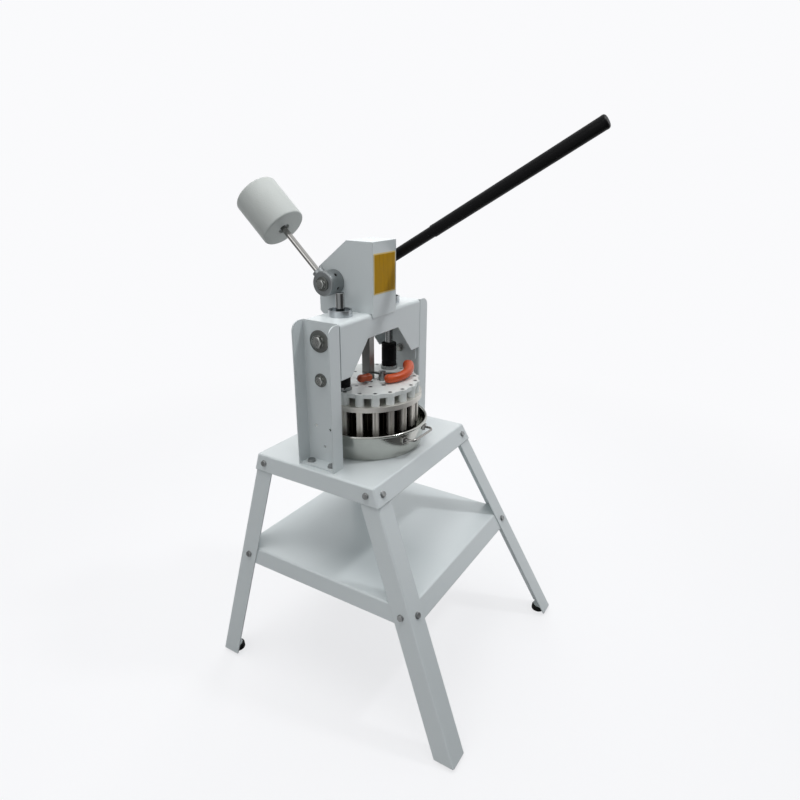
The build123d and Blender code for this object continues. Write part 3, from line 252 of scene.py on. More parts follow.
def slab(outline: np.ndarray, thickness: float, edge: float, rings: int = 1) -> Surface:
    """Plate from a star-shaped outline: each row is the outline scaled about its middle.

    The rows run from the middle of the underside out to the rim, up it, over a quarter circle
    of radius edge, and in over the upper face to its middle.

    Args:
        outline: Array (n, 2), counter-clockwise.
        thickness: Height of the plate.
        edge: Radius of its upper edge.
        rings: Rows between the upper edge and the middle.

    Returns:
        The surface, from z = 0 up to the thickness.
    """
    middle = outline.mean(axis=0)
    reach = np.linalg.norm(outline - middle, axis=1).min()
    turn = np.linspace(0.0, TURN / 4, 5)
    share = np.concatenate(([0.0, 1.0], 1 - edge * (1 - np.cos(turn)) / reach))
    height = np.concatenate(([0.0, 0.0], thickness - edge + edge * np.sin(turn)))
    share = np.concatenate((share, np.linspace(share[-1], 0.0, rings + 1)[1:]))
    height = np.concatenate((height, np.full(rings, thickness)))
    flat = middle + share[:, None, None] * (outline - middle)[None]
    upright = np.broadcast_to(height[:, None, None], flat.shape[:2] + (1,))
    return Surface.grid(np.concatenate((flat, upright), axis=-1))


def carried(
    section: np.ndarray, path: np.ndarray, across: Sequence[float], size: np.ndarray
) -> Surface:
    """Carries a section along a path that lies in one plane.

    With t the path's direction and b the plane's normal, a section point (x, y) goes to
    path + size * (x * (b x t) + y * b).

    Args:
        section: Array (m, 2), closed.
        path: Array (n, 3).
        across: Normal of the plane that holds the path.
        size: Array (n,) that scales the section at each point; 0 closes an end.

    Returns:
        The surface.
    """
    ahead = np.gradient(path, axis=0)
    ahead /= np.linalg.norm(ahead, axis=1, keepdims=True)
    up = np.asarray(across, float) / np.linalg.norm(across)
    side = np.cross(up, ahead)
    scaled = section[None] * size[:, None, None]
    return Surface.grid(path[:, None] + scaled[..., :1] * side[:, None] + scaled[..., 1:] * up)


def loop_of(power: float, count: int) -> np.ndarray:
    """Unit superellipse |x|^p + |y|^p = 1; power 2 is a circle and a larger one is squarer.

    Args:
        power: The exponent p.
        count: Points round it.

    Returns:
        Array (count, 2).
    """
    angle = angles(count)
    both = np.stack((np.cos(angle), np.sin(angle)), axis=-1)
    return np.sign(both) * np.abs(both) ** (2 / power)


def hexagon(width: float) -> tuple[np.ndarray, np.ndarray]:
    """Angle and radius round a hexagon: r = width / 2 / cos(angle folded into one flat).

    Args:
        width: Width across the flats.

    Returns:
        Two arrays of 24 values.
    """
    angle = angles(24)
    folded = (angle + TURN / 12) % (TURN / 6) - TURN / 12
    return angle, width / 2 / np.cos(folded)


def hex_head(width: float, height: float, flange: float, flange_height: float) -> Surface:
    """Hexagon head on z = 0, its corners cut by a 30 degree cone, with a washer face under it.

    Args:
        width: Width across the flats.
        height: Height over the washer face too.
        flange: Diameter of the washer face.
        flange_height: Height of the washer face.

    Returns:
        The surface, along +Z.
    """
    angle, flat = hexagon(width)
    rim, wide, dish = CONE_RIM * width, flange / 2, height - 0.25
    cone = height - np.maximum(flat - rim, 0.0) * CONE_SLOPE
    return rows_round(
        angle, (0.0, 0.0), (wide, 0.0), (wide, 0.7 * flange_height), (wide - 0.5, flange_height),
        (flat, flange_height + 0.05), (flat, cone), (rim, height), (0.3 * width, dish), (0.0, dish),
    )


def hex_nut(width: float, height: float, bore: float) -> Surface:
    """Hexagon nut on z = 0, both ends cut by a 30 degree cone, with a chamfered bore.

    Args:
        width: Width across the flats.
        height: Height of the nut.
        bore: Radius of the bore.

    Returns:
        The surface, along +Z.
    """
    angle, flat = hexagon(width)
    rim, chamfer = CONE_RIM * width, 0.6
    cut = np.maximum(flat - rim, 0.0) * CONE_SLOPE
    lip = bore + chamfer
    return rows_round(
        angle, (bore, chamfer), (lip, 0.0), (rim, 0.0), (flat, cut), (flat, height - cut),
        (rim, height), (lip, height), (bore, height - chamfer), (bore, chamfer),
    )


def threaded_end(radius: float, pitch: float, length: float) -> Surface:
    """Bolt end on z = 0: the radius falls by half the pitch in each groove, to a chamfered tip.

    Args:
        radius: Radius of the thread's crests.
        pitch: Distance between them.
        length: Length of the end.

    Returns:
        The surface, along +Z.
    """
    count = max(2, int(length / pitch) - 1)
    start = np.arange(count) * pitch
    crest = np.stack((start, start + 0.5 * pitch), axis=-1).ravel()
    radii = np.tile((radius, radius - 0.5 * pitch), count)
    tip = ((radius - 0.2, length - 0.8), (radius - 1.0, length), (0.0, length))
    profile = np.concatenate((((0.0, 0.0),), np.stack((radii, crest), axis=-1), tip))
    return revolved(profile, 24)


def socket_head(radius: float, height: float, socket: float, depth: float) -> Surface:
    """Domed screw head on z = 0 with a hexagon socket.

    Args:
        radius: Radius of the head.
        height: Height of its dome.
        socket: Width of the socket across its flats.
        depth: Depth of the socket.

    Returns:
        The surface, along +Z.
    """
    angle, flat = hexagon(socket)
    return rows_round(
        angle, (0.0, 0.0), (radius, 0.0), (radius, 0.45 * height), (0.93 * radius, 0.75 * height),
        (0.75 * radius, 0.95 * height), (np.maximum(flat + 0.2, 0.6 * radius), height),
        (flat, height - 0.15), (flat * 0.98, height - depth), (0.0, height - depth - 0.3),
    )


def frame_at(
    origin: Sequence[float], up: Sequence[float] = UP, along: Sequence[float] = ACROSS
) -> np.ndarray:
    """Frame at a place.

    Args:
        origin: The place.
        up: Way of its Z.
        along: Way that its X comes as near to as it can.

    Returns:
        Array (4, 4).
    """
    z = np.asarray(up, float) / np.linalg.norm(up)
    x = np.asarray(along, float) - z * np.dot(along, z)
    x /= np.linalg.norm(x)
    made = np.eye(4)
    made[:3] = np.stack((x, np.cross(z, x), z, origin), axis=1)
    return made


@dataclass(frozen=True)
class Bolt:
    """Hexagon bolt with a washer face, a nut and a thread; the head is as tall as the nut."""

    width: float
    height: float
    flange: float
    flange_height: float
    thread: float
    pitch: float
    past: float = 3.0

    @classmethod
    def sized(cls, size: float, flange: float, flange_height: float) -> "Bolt":
        """Usual proportions for a thread size; the flange is given as a share of the width."""
        width = 1.6 * size
        return cls(width, 0.65 * size, flange * width, flange_height, size / 2, size / 8)

    def head(self) -> Surface:
        """The head on z = 0."""
        return hex_head(self.width, self.height, self.flange, self.flange_height)

    def nut(self) -> Surface:
        """The nut on z = 0, with the thread's end past it."""
        end = threaded_end(self.thread, self.pitch, self.height + self.past)
        return Surface.joined(hex_nut(self.width, self.height, self.thread), end)

    def between(self, heads: Frames, nuts: Frames) -> Surface:
        """Several bolts, with a frame for each head and one for each nut."""
        return Surface.joined(self.head().placed(heads), self.nut().placed(nuts))


# Node groups and finishes


class Wiring:
    """Places and links the nodes of one shader tree."""

    def __init__(self, tree: bpy.types.NodeTree) -> None:
        """Keeps the tree that the nodes go into."""
        self.tree = tree

    def feed(self, target: Socket, value: Any) -> None:
        """Gives an input what it takes.

        Args:
            target: The input.
            value: A socket that is linked to it, or its own value, a colour without its alpha.
        """
        if isinstance(value, bpy.types.NodeSocket):
            self.tree.links.new(value, target)
        else:
            target.default_value = (*value, 1.0) if target.type == "RGBA" else value

    def node(self, kind: str, values: dict[Any, Any] | None = None, **settings: Any) -> Any:
        """Adds a node.

        Args:
            kind: Blender's name of the node type.
            values: Input name or number to a value, or to the socket that feeds it.
            settings: Properties of the node.

        Returns:
            The node's outputs.
        """
        made = self.tree.nodes.new(kind)
        for key, value in settings.items():
            setattr(made, key, value)
        for key, value in (values or {}).items():
            self.feed(made.inputs[key], value)
        return made.outputs

    def give(self, out: Any, **results: Socket) -> bpy.types.NodeTree:
        """Feeds the named outputs of a group.

        Args:
            out: Inputs of the group's output node.
            results: Socket for each output.

        Returns:
            The finished group.
        """
        for name, result in results.items():
            self.feed(out[name], result)
        return self.tree

    def calc(self, operation: str, a: Any, b: Any = 0.0, clamp: bool = False) -> Socket:
        """Result of one Math node."""
        return self.node("ShaderNodeMath", {0: a, 1: b}, operation=operation, use_clamp=clamp)[0]

    def times(self, a: Any, b: Any, clamp: bool = False) -> Socket:
        """Product of two values."""
        return self.calc("MULTIPLY", a, b, clamp)

    def plus(self, a: Any, b: Any) -> Socket:
        """Sum of two values."""
        return self.calc("ADD", a, b)

    def most(self, a: Any, b: Any) -> Socket:
        """Larger of two values."""
        return self.calc("MAXIMUM", a, b)

    def vector(self, operation: str, a: Any, b: Any = ORIGIN, output: Any = 0) -> Socket:
        """Result of one Vector Math node."""
        return self.node("ShaderNodeVectorMath", {0: a, 1: b}, operation=operation)[output]

    def parts(self, vector: Socket) -> Any:
        """X, Y and Z of a vector."""
        return self.node("ShaderNodeSeparateXYZ", {0: vector})

    def span(
        self, value: Any, low: float, high: float, to_low: Any = 0.0, to_high: Any = 1.0
    ) -> Socket:
        """Value carried from one range to another, smoothly and within its ends."""
        ends = {"From Min": low, "From Max": high, "To Min": to_low, "To Max": to_high}
        return self.node(
            "ShaderNodeMapRange", {"Value": value, **ends}, interpolation_type="SMOOTHSTEP"
        )[0]

    def noise(self, vector: Any, scale: Any, detail: float, roughness: float = 0.55) -> Socket:
        """Value of a noise texture."""
        values = {"Vector": vector, "Scale": scale, "Detail": detail, "Roughness": roughness}
        return self.node("ShaderNodeTexNoise", values)[0]

    def blend(self, share: Any, low: Any, high: Any) -> Socket:
        """Colour between two, by a share from 0 to 1."""
        return self.node("ShaderNodeMix", {0: share, 6: low, 7: high}, data_type="RGBA")[2]


class Kind(Enum):
    """Socket types that the shared effects use."""

    VALUE = "NodeSocketFloat"
    VECTOR = "NodeSocketVector"
    COLOUR = "NodeSocketColor"


class Effects:
    """Shader node groups that several finishes share, each built once.

    Round brushing measures its arcs at one radius, in metres.
    """

    arc_radius: float = 0.15

    def start(
        self, name: str, inputs: dict[str, Kind], outputs: dict[str, Kind]
    ) -> tuple[Wiring, Any, Any]:
        """Makes an empty group, whose first input is Vector, the coordinates.

        Args:
            name: Name of the group.
            inputs: Names and types of its other inputs.
            outputs: Output names and types.

        Returns:
            The wiring, what is given to the group and what it puts out.
        """
        tree = bpy.data.node_groups.new(name, "ShaderNodeTree")
        for way, sockets in (("INPUT", {"Vector": Kind.VECTOR, **inputs}), ("OUTPUT", outputs)):
            for socket, kind in sockets.items():
                tree.interface.new_socket(socket, in_out=way, socket_type=kind.value)
        given, out = tree.nodes.new("NodeGroupInput"), tree.nodes.new("NodeGroupOutput")
        return Wiring(tree), given.outputs, out.inputs

    @cached_property
    def edge_wear(self) -> bpy.types.NodeTree:
        """Mask of rubbed edges, broken up by noise, and a normal that rounds them.

        Returns:
            The group.
        """
        inputs = {"Radius": Kind.VALUE, "Breakup": Kind.VALUE, "Strength": Kind.VALUE}
        w, given, out = self.start("edge_wear", inputs, {"Mask": Kind.VALUE, "Normal": Kind.VECTOR})
        bevel = w.node("ShaderNodeBevel", {"Radius": given["Radius"]}, samples=4)[0]
        plain = w.node("ShaderNodeNewGeometry")["Normal"]
        alike = w.vector("DOT_PRODUCT", bevel, plain, "Value")
        edge = w.span(w.calc("SUBTRACT", 1.0, alike), low=0.015, high=0.16)
        broken = w.span(w.noise(given["Vector"], given["Breakup"], detail=4.0), low=0.42, high=0.68)
        mask = w.times(w.times(edge, broken), given["Strength"], clamp=True)
        return w.give(out, Mask=mask, Normal=bevel)

    @cached_property
    def mottle(self) -> bpy.types.NodeTree:
        """Colour that drifts a little lighter and darker over the surface, and the drift itself.

        Returns:
            The group.
        """
        inputs = {"Colour": Kind.COLOUR, "Scale": Kind.VALUE, "Amount": Kind.VALUE}
        w, given, out = self.start("mottle", inputs, {"Colour": Kind.COLOUR, "Drift": Kind.VALUE})
        cloud = w.noise(given["Vector"], given["Scale"], detail=5.0, roughness=0.6)
        drift = w.span(cloud, low=0.25, high=0.75, to_low=-1.0)
        gain = w.plus(1.0, w.times(drift, given["Amount"]))
        values = {0: given["Colour"], "Scale": gain}
        lit = w.node("ShaderNodeVectorMath", values, operation="SCALE")[0]
        return w.give(out, Colour=lit, Drift=drift)

    @cached_property
    def dust(self) -> bpy.types.NodeTree:
        """Colour under a thin, patchy film of flour dust on faces that look up.

        Returns:
            The group.
        """
        inputs = {"Colour": Kind.COLOUR, "Film": Kind.COLOUR, "Amount": Kind.VALUE}
        w, given, out = self.start("dust", inputs, {"Colour": Kind.COLOUR})
        plain = w.node("ShaderNodeNewGeometry")["Normal"]
        facing = w.span(w.parts(plain)[2], low=0.35, high=0.95)
        cloud = w.noise(given["Vector"], scale=17.0, detail=6.0, roughness=0.62)
        patchy = w.span(cloud, low=0.36, high=0.72)
        mask = w.times(w.times(facing, patchy), given["Amount"], clamp=True)
        return w.give(out, Colour=w.blend(mask, given["Colour"], given["Film"]))

    @cached_property
    def orange_peel(self) -> bpy.types.NodeTree:
        """Height of the soft ripple that sprayed enamel dries with.

        Returns:
            The group.
        """
        w, given, out = self.start("orange_peel", {"Scale": Kind.VALUE}, {"Height": Kind.VALUE})
        at, scale = given["Vector"], given["Scale"]
        broad = w.noise(at, scale, detail=2.0, roughness=0.45)
        fine = w.noise(at, w.times(scale, 3.1), detail=2.0, roughness=0.5)
        return w.give(out, Height=w.plus(broad, w.times(fine, 0.35)))

    @cached_property
    def grain(self) -> bpy.types.NodeTree:
        """Height of a cast or moulded skin: rounded cells under fine noise.

        Returns:
            The group.
        """
        w, given, out = self.start("grain", {"Scale": Kind.VALUE}, {"Height": Kind.VALUE})
        values = {"Vector": given["Vector"], "Scale": given["Scale"]}
        cells = w.node("ShaderNodeTexVoronoi", values, feature="SMOOTH_F1")["Distance"]
        fine = w.noise(given["Vector"], w.times(given["Scale"], 2.3), detail=4.0, roughness=0.6)
        return w.give(out, Height=w.plus(w.times(cells, 0.6), w.times(fine, 0.5)))

    def lines(self, w: Wiring, at: Socket, stretch: Socket) -> Socket:
        """Fine parallel lines: noise whose coordinates are stretched by a scale on each axis.

        Args:
            w: Wiring of the group.
            at: The coordinates.
            stretch: The scale on each of their axes.

        Returns:
            The lines, from 0 to 1.
        """
        scaled = w.vector("MULTIPLY", at, stretch)
        broad = w.noise(scaled, scale=1.0, detail=3.0, roughness=0.6)
        fine = w.noise(scaled, scale=3.7, detail=2.0, roughness=0.6)
        return w.span(w.plus(w.times(broad, 0.6), w.times(fine, 0.4)), low=0.3, high=0.7)

    @cached_property
    def brushing(self) -> bpy.types.NodeTree:
        """Lines that run straight."""
        w, given, out = self.start("brushing", {"Stretch": Kind.VECTOR}, {"Lines": Kind.VALUE})
        return w.give(out, Lines=self.lines(w, given["Vector"], given["Stretch"]))

    @cached_property
    def round_brushing(self) -> bpy.types.NodeTree:
        """Lines round an upright axis: their coordinates are the arc, the radius and the height.

        Returns:
            The group.
        """
        inputs = {"Centre": Kind.VECTOR, "Stretch": Kind.VECTOR}
        w, given, out = self.start("round_brushing", inputs, {"Lines": Kind.VALUE})
        x, y, z = w.parts(w.vector("SUBTRACT", given["Vector"], given["Centre"]))
        radius = w.calc("SQRT", w.plus(w.times(x, x), w.times(y, y)))
        arc = w.times(w.calc("ARCTAN2", y, x), self.arc_radius)
        at = w.node("ShaderNodeCombineXYZ", {0: arc, 1: radius, 2: z})[0]
        return w.give(out, Lines=self.lines(w, at, given["Stretch"]))


@dataclass
class Draft:
    """A material under way: its wiring, the shared effects, its shader and its coordinates."""

    w: Wiring
    effects: Effects
    shader: Any
    at: Socket

    def effect(self, tree: bpy.types.NodeTree, **values: Any) -> Any:
        """Outputs of a shared effect with its own values."""
        return self.w.node("ShaderNodeGroup", {"Vector": self.at, **values}, node_tree=tree)

    def put(self, name: str, value: Any) -> None:
        """Gives the shader's input of that name a value or a socket."""
        self.w.feed(self.shader.inputs[name], value)

    def bump(self, height: Socket, depth: float, **under: Socket) -> None:
        """Bumps the normal by a height, its depth in metres, over the Normal given, if any."""
        values = {"Height": height, "Distance": depth, "Strength": 1.0, **under}
        self.put("Normal", self.w.node("ShaderNodeBump", values)[0])


class Brush(Enum):
    """Way in which a metal was brushed, as the stretch of its lines on X, Y and Z per metre."""

    ALONG_Z = (1800.0, 1800.0, 24.0)
    ROUND_COLUMN = (26.0, 2400.0, 2400.0)
    NONE = (420.0, 420.0, 420.0)


@dataclass(frozen=True)
class Finish:
    """What every finish has: a colour that drifts, dust, rubbed edges and a roughness.

    The roughness drifts by spread, lengths are in metres and scales are per metre.
    """

    name: str
    colour: Colour
    roughness: float
    spread: float = 0.06
    smoothest: float = 0.03
    drift: float = 0.004
    drift_scale: float = 7.0
    film: Colour = paint(222, 222, 216)
    dusting: float = 0.0
    rubbed: Colour = paint(176, 178, 176)
    wear: float = 0.4
    edge: float = 0.0016
    breakup: float = 60.0

    def material(self, effects: Effects) -> bpy.types.Material:
        """Builds the finish.

        Args:
            effects: The shared effects.

        Returns:
            The Blender material.
        """
        made = bpy.data.materials.new(self.name)
        made.use_nodes = True
        made.diffuse_color = (*self.colour, 1.0)
        w = Wiring(made.node_tree)
        at = w.node("ShaderNodeTexCoord")["Object"]
        self.wire(Draft(w, effects, made.node_tree.nodes["Principled BSDF"], at))
        return made

    def wire(self, draft: Draft) -> None:
        """Wires the shader; each kind of finish does it in its own way."""
        raise NotImplementedError

    def mottled(self, draft: Draft) -> Any:
        """Outputs for the drifting colour and its drift."""
        values = {"Colour": self.colour, "Scale": self.drift_scale, "Amount": self.drift}
        return draft.effect(draft.effects.mottle, **values)

    def coloured(self, draft: Draft) -> tuple[Socket, Socket]:
        """Gives the shader the drifting colour under its dust, rubbed at the edges.

        Args:
            draft: The material under way.

        Returns:
            The drift, and the normal that rounds the edges.
        """
        colour, drift = self.mottled(draft)
        if self.dusting:
            values = {"Colour": colour, "Film": self.film, "Amount": self.dusting}
            colour = draft.effect(draft.effects.dust, **values)["Colour"]
        values = {"Radius": self.edge, "Breakup": self.breakup, "Strength": self.wear}
        mask, normal = draft.effect(draft.effects.edge_wear, **values)
        draft.put("Base Color", draft.w.blend(mask, colour, self.rubbed))
        return drift, normal

    def rough(self, draft: Draft, value: Socket, least: float = -1.0) -> None:
        """Gives the shader a roughness that follows a value between least and 1."""
        low = max(self.smoothest, self.roughness - self.spread)
        draft.put("Roughness", draft.w.span(value, least, 1.0, low, self.roughness + self.spread))


@dataclass(frozen=True)
class Enamel(Finish):
    """Sprayed enamel with an orange-peel ripple, rubbed edges and a film of dust."""

    dusting: float = 0.02
    ripple: float = 190.0
    depth: float = 0.00005
    coat: float = 0.3
    coat_roughness: float = 0.08
    specular: float = 0.5

    def wire(self, draft: Draft) -> None:
        """Wires the enamel.

        Args:
            draft: The material under way.
        """
        drift, normal = self.coloured(draft)
        self.rough(draft, drift)
        peel = draft.effect(draft.effects.orange_peel, Scale=self.ripple)["Height"]
        draft.bump(peel, self.depth, Normal=normal)
        draft.put("Coat Weight", self.coat)
        draft.put("Coat Roughness", self.coat_roughness)
        draft.put("Specular IOR Level", self.specular)


@dataclass(frozen=True)
class Metal(Finish):
    """Bare or plated metal with brushed lines, rubbed edges and faint stains."""

    drift: float = 0.05
    drift_scale: float = 24.0
    rubbed: Colour = paint(225, 224, 220)
    wear: float = 0.5
    edge: float = 0.0005
    breakup: float = 140.0
    brush: Brush = Brush.NONE
    lines: float = 0.000012
    centre: Triple = ORIGIN

    def wire(self, draft: Draft) -> None:
        """Wires the metal.

        Args:
            draft: The material under way.
        """
        values, brushed = {"Stretch": self.brush.value}, draft.effects.brushing
        if self.brush is Brush.ROUND_COLUMN:
            values["Centre"], brushed = self.centre, draft.effects.round_brushing
        lines = draft.effect(brushed, **values)["Lines"]
        _, normal = self.coloured(draft)
        self.rough(draft, lines, 0.0)
        draft.bump(lines, self.lines, Normal=normal)
        draft.put("Metallic", 1.0)


@dataclass(frozen=True)
class Moulded(Finish):
    """Moulded plastic or rubber with a fine grain, scuffed edges and a little dust."""

    drift: float = 0.06
    drift_scale: float = 30.0
    film: Colour = paint(205, 202, 192)
    dusting: float = 0.08
    rubbed: Colour = paint(120, 120, 118)
    wear: float = 0.35
    edge: float = 0.0008
    breakup: float = 110.0
    grain: float = 900.0
    depth: float = 0.00004
    specular: float = 0.5

    def wire(self, draft: Draft) -> None:
        """Wires the moulding.

        Args:
            draft: The material under way.
        """
        drift, normal = self.coloured(draft)
        self.rough(draft, drift)
        skin = draft.effect(draft.effects.grain, Scale=self.grain)["Height"]
        draft.bump(skin, self.depth, Normal=normal)
        draft.put("Specular IOR Level", self.specular)


@dataclass(frozen=True)
class LabelFilm(Finish):
    """Film on a plate: a flat tone with a pale border, darker in upright bands."""

    drift: float = 0.04
    drift_scale: float = 34.0
    shade: Colour = paint(128, 94, 16)
    shade_share: float = 0.4
    bands: Triple = (46.0, 1.0, 3.0)
    pale: Colour = paint(222, 198, 134)
    middle: Triple = ORIGIN
    half: Pair = (0.038, 0.046)
    border: float = 0.003
    blur: float = 0.0004
    ripple: float = 120.0
    depth: float = 0.0002
    specular: float = 0.1

    def wire(self, draft: Draft) -> None:
        """Wires the film; its border is where the distance past its inner box is over zero.

        Args:
            draft: The material under way.
        """
        w = draft.w
        colour, drift = self.mottled(draft)
        lines = draft.effect(draft.effects.brushing, Stretch=self.bands)["Lines"]
        share = w.span(lines, low=0.35, high=0.95, to_high=self.shade_share)
        toned = w.blend(share, colour, self.shade)
        away = w.parts(w.vector("ABSOLUTE", w.vector("SUBTRACT", draft.at, self.middle)))
        sides = [w.calc("SUBTRACT", away[i], half) for i, half in zip((0, 2), self.half)]
        edge = w.span(w.plus(w.most(*sides), self.border), -self.blur, self.blur)
        draft.put("Base Color", w.blend(edge, toned, self.pale))
        self.rough(draft, drift)
        peel = draft.effect(draft.effects.orange_peel, Scale=self.ripple)["Height"]
        draft.bump(peel, self.depth)
        draft.put("Specular IOR Level", self.specular)


WHITE_ENAMEL = Enamel("white_enamel", paint(214, 220, 221), 0.3, spread=0.02, dusting=0.012)
WHITE_CASTING = Enamel(
    "white_casting", paint(186, 190, 187), 0.5, ripple=320.0, depth=0.0004, coat=0.0, wear=0.3
)
BLACK_PAINT = Enamel(
    "black_paint", paint(17, 17, 18), 0.4, rubbed=paint(90, 90, 90), film=paint(120, 118, 112),
    dusting=0.01, wear=0.3, coat=0.0, specular=0.1,
)
WARM_RING = Metal("warm_ring", paint(226, 224, 218), 0.58, brush=Brush.ROUND_COLUMN, wear=0.35)
STEM_STEEL = Metal("stem_steel", paint(224, 221, 214), 0.5, brush=Brush.ALONG_Z, lines=0.00001)
# Steel of the knives and press blocks, its colour darkened to near black to paint the shade between
# the stems inside the cutting head.
SHADE_DARK_STEEL = Metal(
    "steel_darkened_for_shade", paint(44, 40, 34), 0.42, brush=Brush.ALONG_Z, rubbed=paint(120, 118, 112)
)
ZINC = Metal("zinc_plate", paint(156, 158, 158), 0.34, drift=0.14, rubbed=paint(214, 214, 212))
BOLT_STEEL = Metal(
    "bolt_steel", paint(162, 164, 161), 0.3, drift=0.22, rubbed=paint(200, 200, 196)
)
WASHER_STEEL = Metal(
    "washer_steel", paint(116, 118, 115), 0.46, drift=0.16, rubbed=paint(150, 150, 146)
)
CHROME = Metal(
    "hard_chrome", paint(150, 153, 153), 0.12, spread=0.04, brush=Brush.ALONG_Z, lines=0.000003
)
ROD_CHROME = Metal("rod_chrome", paint(168, 167, 164), 0.16, spread=0.05, lines=0.000003)
GUNMETAL = Metal(
    "gunmetal", paint(152, 156, 157), 0.44, spread=0.08, drift=0.12, rubbed=paint(170, 172, 172)
)
STAINLESS = Metal(
    "spun_stainless", paint(188, 189, 184), 0.16, spread=0.05, brush=Brush.ROUND_COLUMN
)
WIRE = Metal("wire_stainless", paint(156, 155, 152), 0.18, spread=0.05)
BRONZE = Metal("bearing_bronze", paint(168, 128, 78), 0.36, drift=0.12)
BUSH_STEEL = Metal("bush_steel", paint(186, 191, 194), 0.34, drift=0.08)
GEAR_STEEL = Metal("gear_steel", paint(124, 124, 122), 0.36, drift=0.1)
CAST_BLOCK = Metal("cast_block", paint(158, 158, 154), 0.48, spread=0.1, drift=0.1)
WHITE_DISC = Moulded(
    "white_disc", paint(226, 230, 228), 0.38, rubbed=paint(170, 170, 165), grain=700.0
)
BLACK_RUBBER = Moulded(
    "black_rubber", paint(13, 15, 17), 0.6, rubbed=paint(50, 50, 50), grain=1200.0, specular=0.1
)
BLACK_SLEEVE = Moulded(
    "black_sleeve", paint(17, 17, 18), 0.42, rubbed=paint(60, 60, 60), grain=1600.0,
    depth=0.00002, dusting=0.01, specular=0.1,
)
ORANGE_GRIP = Moulded(
    "orange_grip", paint(202, 78, 28), 0.4, rubbed=paint(230, 146, 104), grain=800.0
)
# Same orange moulding as the right grip; its colour is darkened to paint the shade that the left
# grip sits in.
SHADED_ORANGE_GRIP = Moulded("orange_grip_painted_shade", paint(170, 72, 34), 0.42, rubbed=paint(205, 134, 96), grain=800.0)
MUSTARD = LabelFilm("mustard_label", paint(186, 140, 16), 0.45)


# The workshop that all sub-assemblies share


@dataclass
class Workshop:
    """Finishes ready for use, and the place of the column's axis."""

    effects: Effects = field(default_factory=Effects)
    made: dict[str, bpy.types.Material] = field(default_factory=dict)

    @cached_property
    def axis(self) -> np.ndarray:
        """Foot of the column's axis on the floor, in millimetres."""
        return np.array((0.0, self.joint_place("pan_turn")[1], 0.0))

    @cached_property
    def pivot(self) -> np.ndarray:
        """Point of the lever's pivot axis in the middle plane, in millimetres."""
        return self.joint_place("lever_pivot")

    def joint_place(self, name: str) -> np.ndarray:
        """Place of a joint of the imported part, in millimetres."""
        found = next(joint for joint in frame["joints"] if joint["name"] == name)
        return np.array(found["pos_m"], float) / MM

    def material(self, finish: Finish) -> bpy.types.Material:
        """Finds the material of a finish, and builds it at its first use.

        Args:
            finish: The finish.

        Returns:
            Its material.
        """
        if finish.name not in self.made:
            self.made[finish.name] = finish.material(self.effects)
        return self.made[finish.name]

    def turned(self, finish: Metal) -> Metal:
        """The finish with its brushed lines set round the column's axis."""
        return replace(finish, centre=tuple(self.axis * MM))

    def dress(self, finish: Finish, *nodes: str) -> None:
        """Gives CAD nodes a finish.

        Args:
            finish: The finish.
            nodes: Names of the nodes.
        """
        for name in nodes:
            slots = frame["nodes"][name].data.materials
            slots.clear()
            slots.append(self.material(finish))
            log.info("dressed %s in %s", name, finish.name)

    def place(
        self, surface: Surface, name: str, body: str, finish: Finish, slot: str, *stands_for: str
    ) -> None:
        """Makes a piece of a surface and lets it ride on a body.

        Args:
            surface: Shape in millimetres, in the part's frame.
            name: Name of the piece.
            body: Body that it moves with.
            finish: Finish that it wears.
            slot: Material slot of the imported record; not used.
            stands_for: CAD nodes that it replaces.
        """
        made = surface.piece(name)
        made.data.materials.append(self.material(finish))
        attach(made, body)
        if stands_for:
            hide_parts(*stands_for)
        log.info("built %s on %s, %d faces", name, body, len(made.data.polygons))


# Sub-assemblies; all sizes are in millimetres


@dataclass
class SubAssembly:
    """What every sub-assembly has: the workshop that makes and finishes its pieces."""

    shop: Workshop

    def build(self) -> None:
        """Makes the sub-assembly's own pieces."""
        raise NotImplementedError

    def dress(self) -> None:
        """Finishes the CAD nodes that stay in sight, where there are any."""


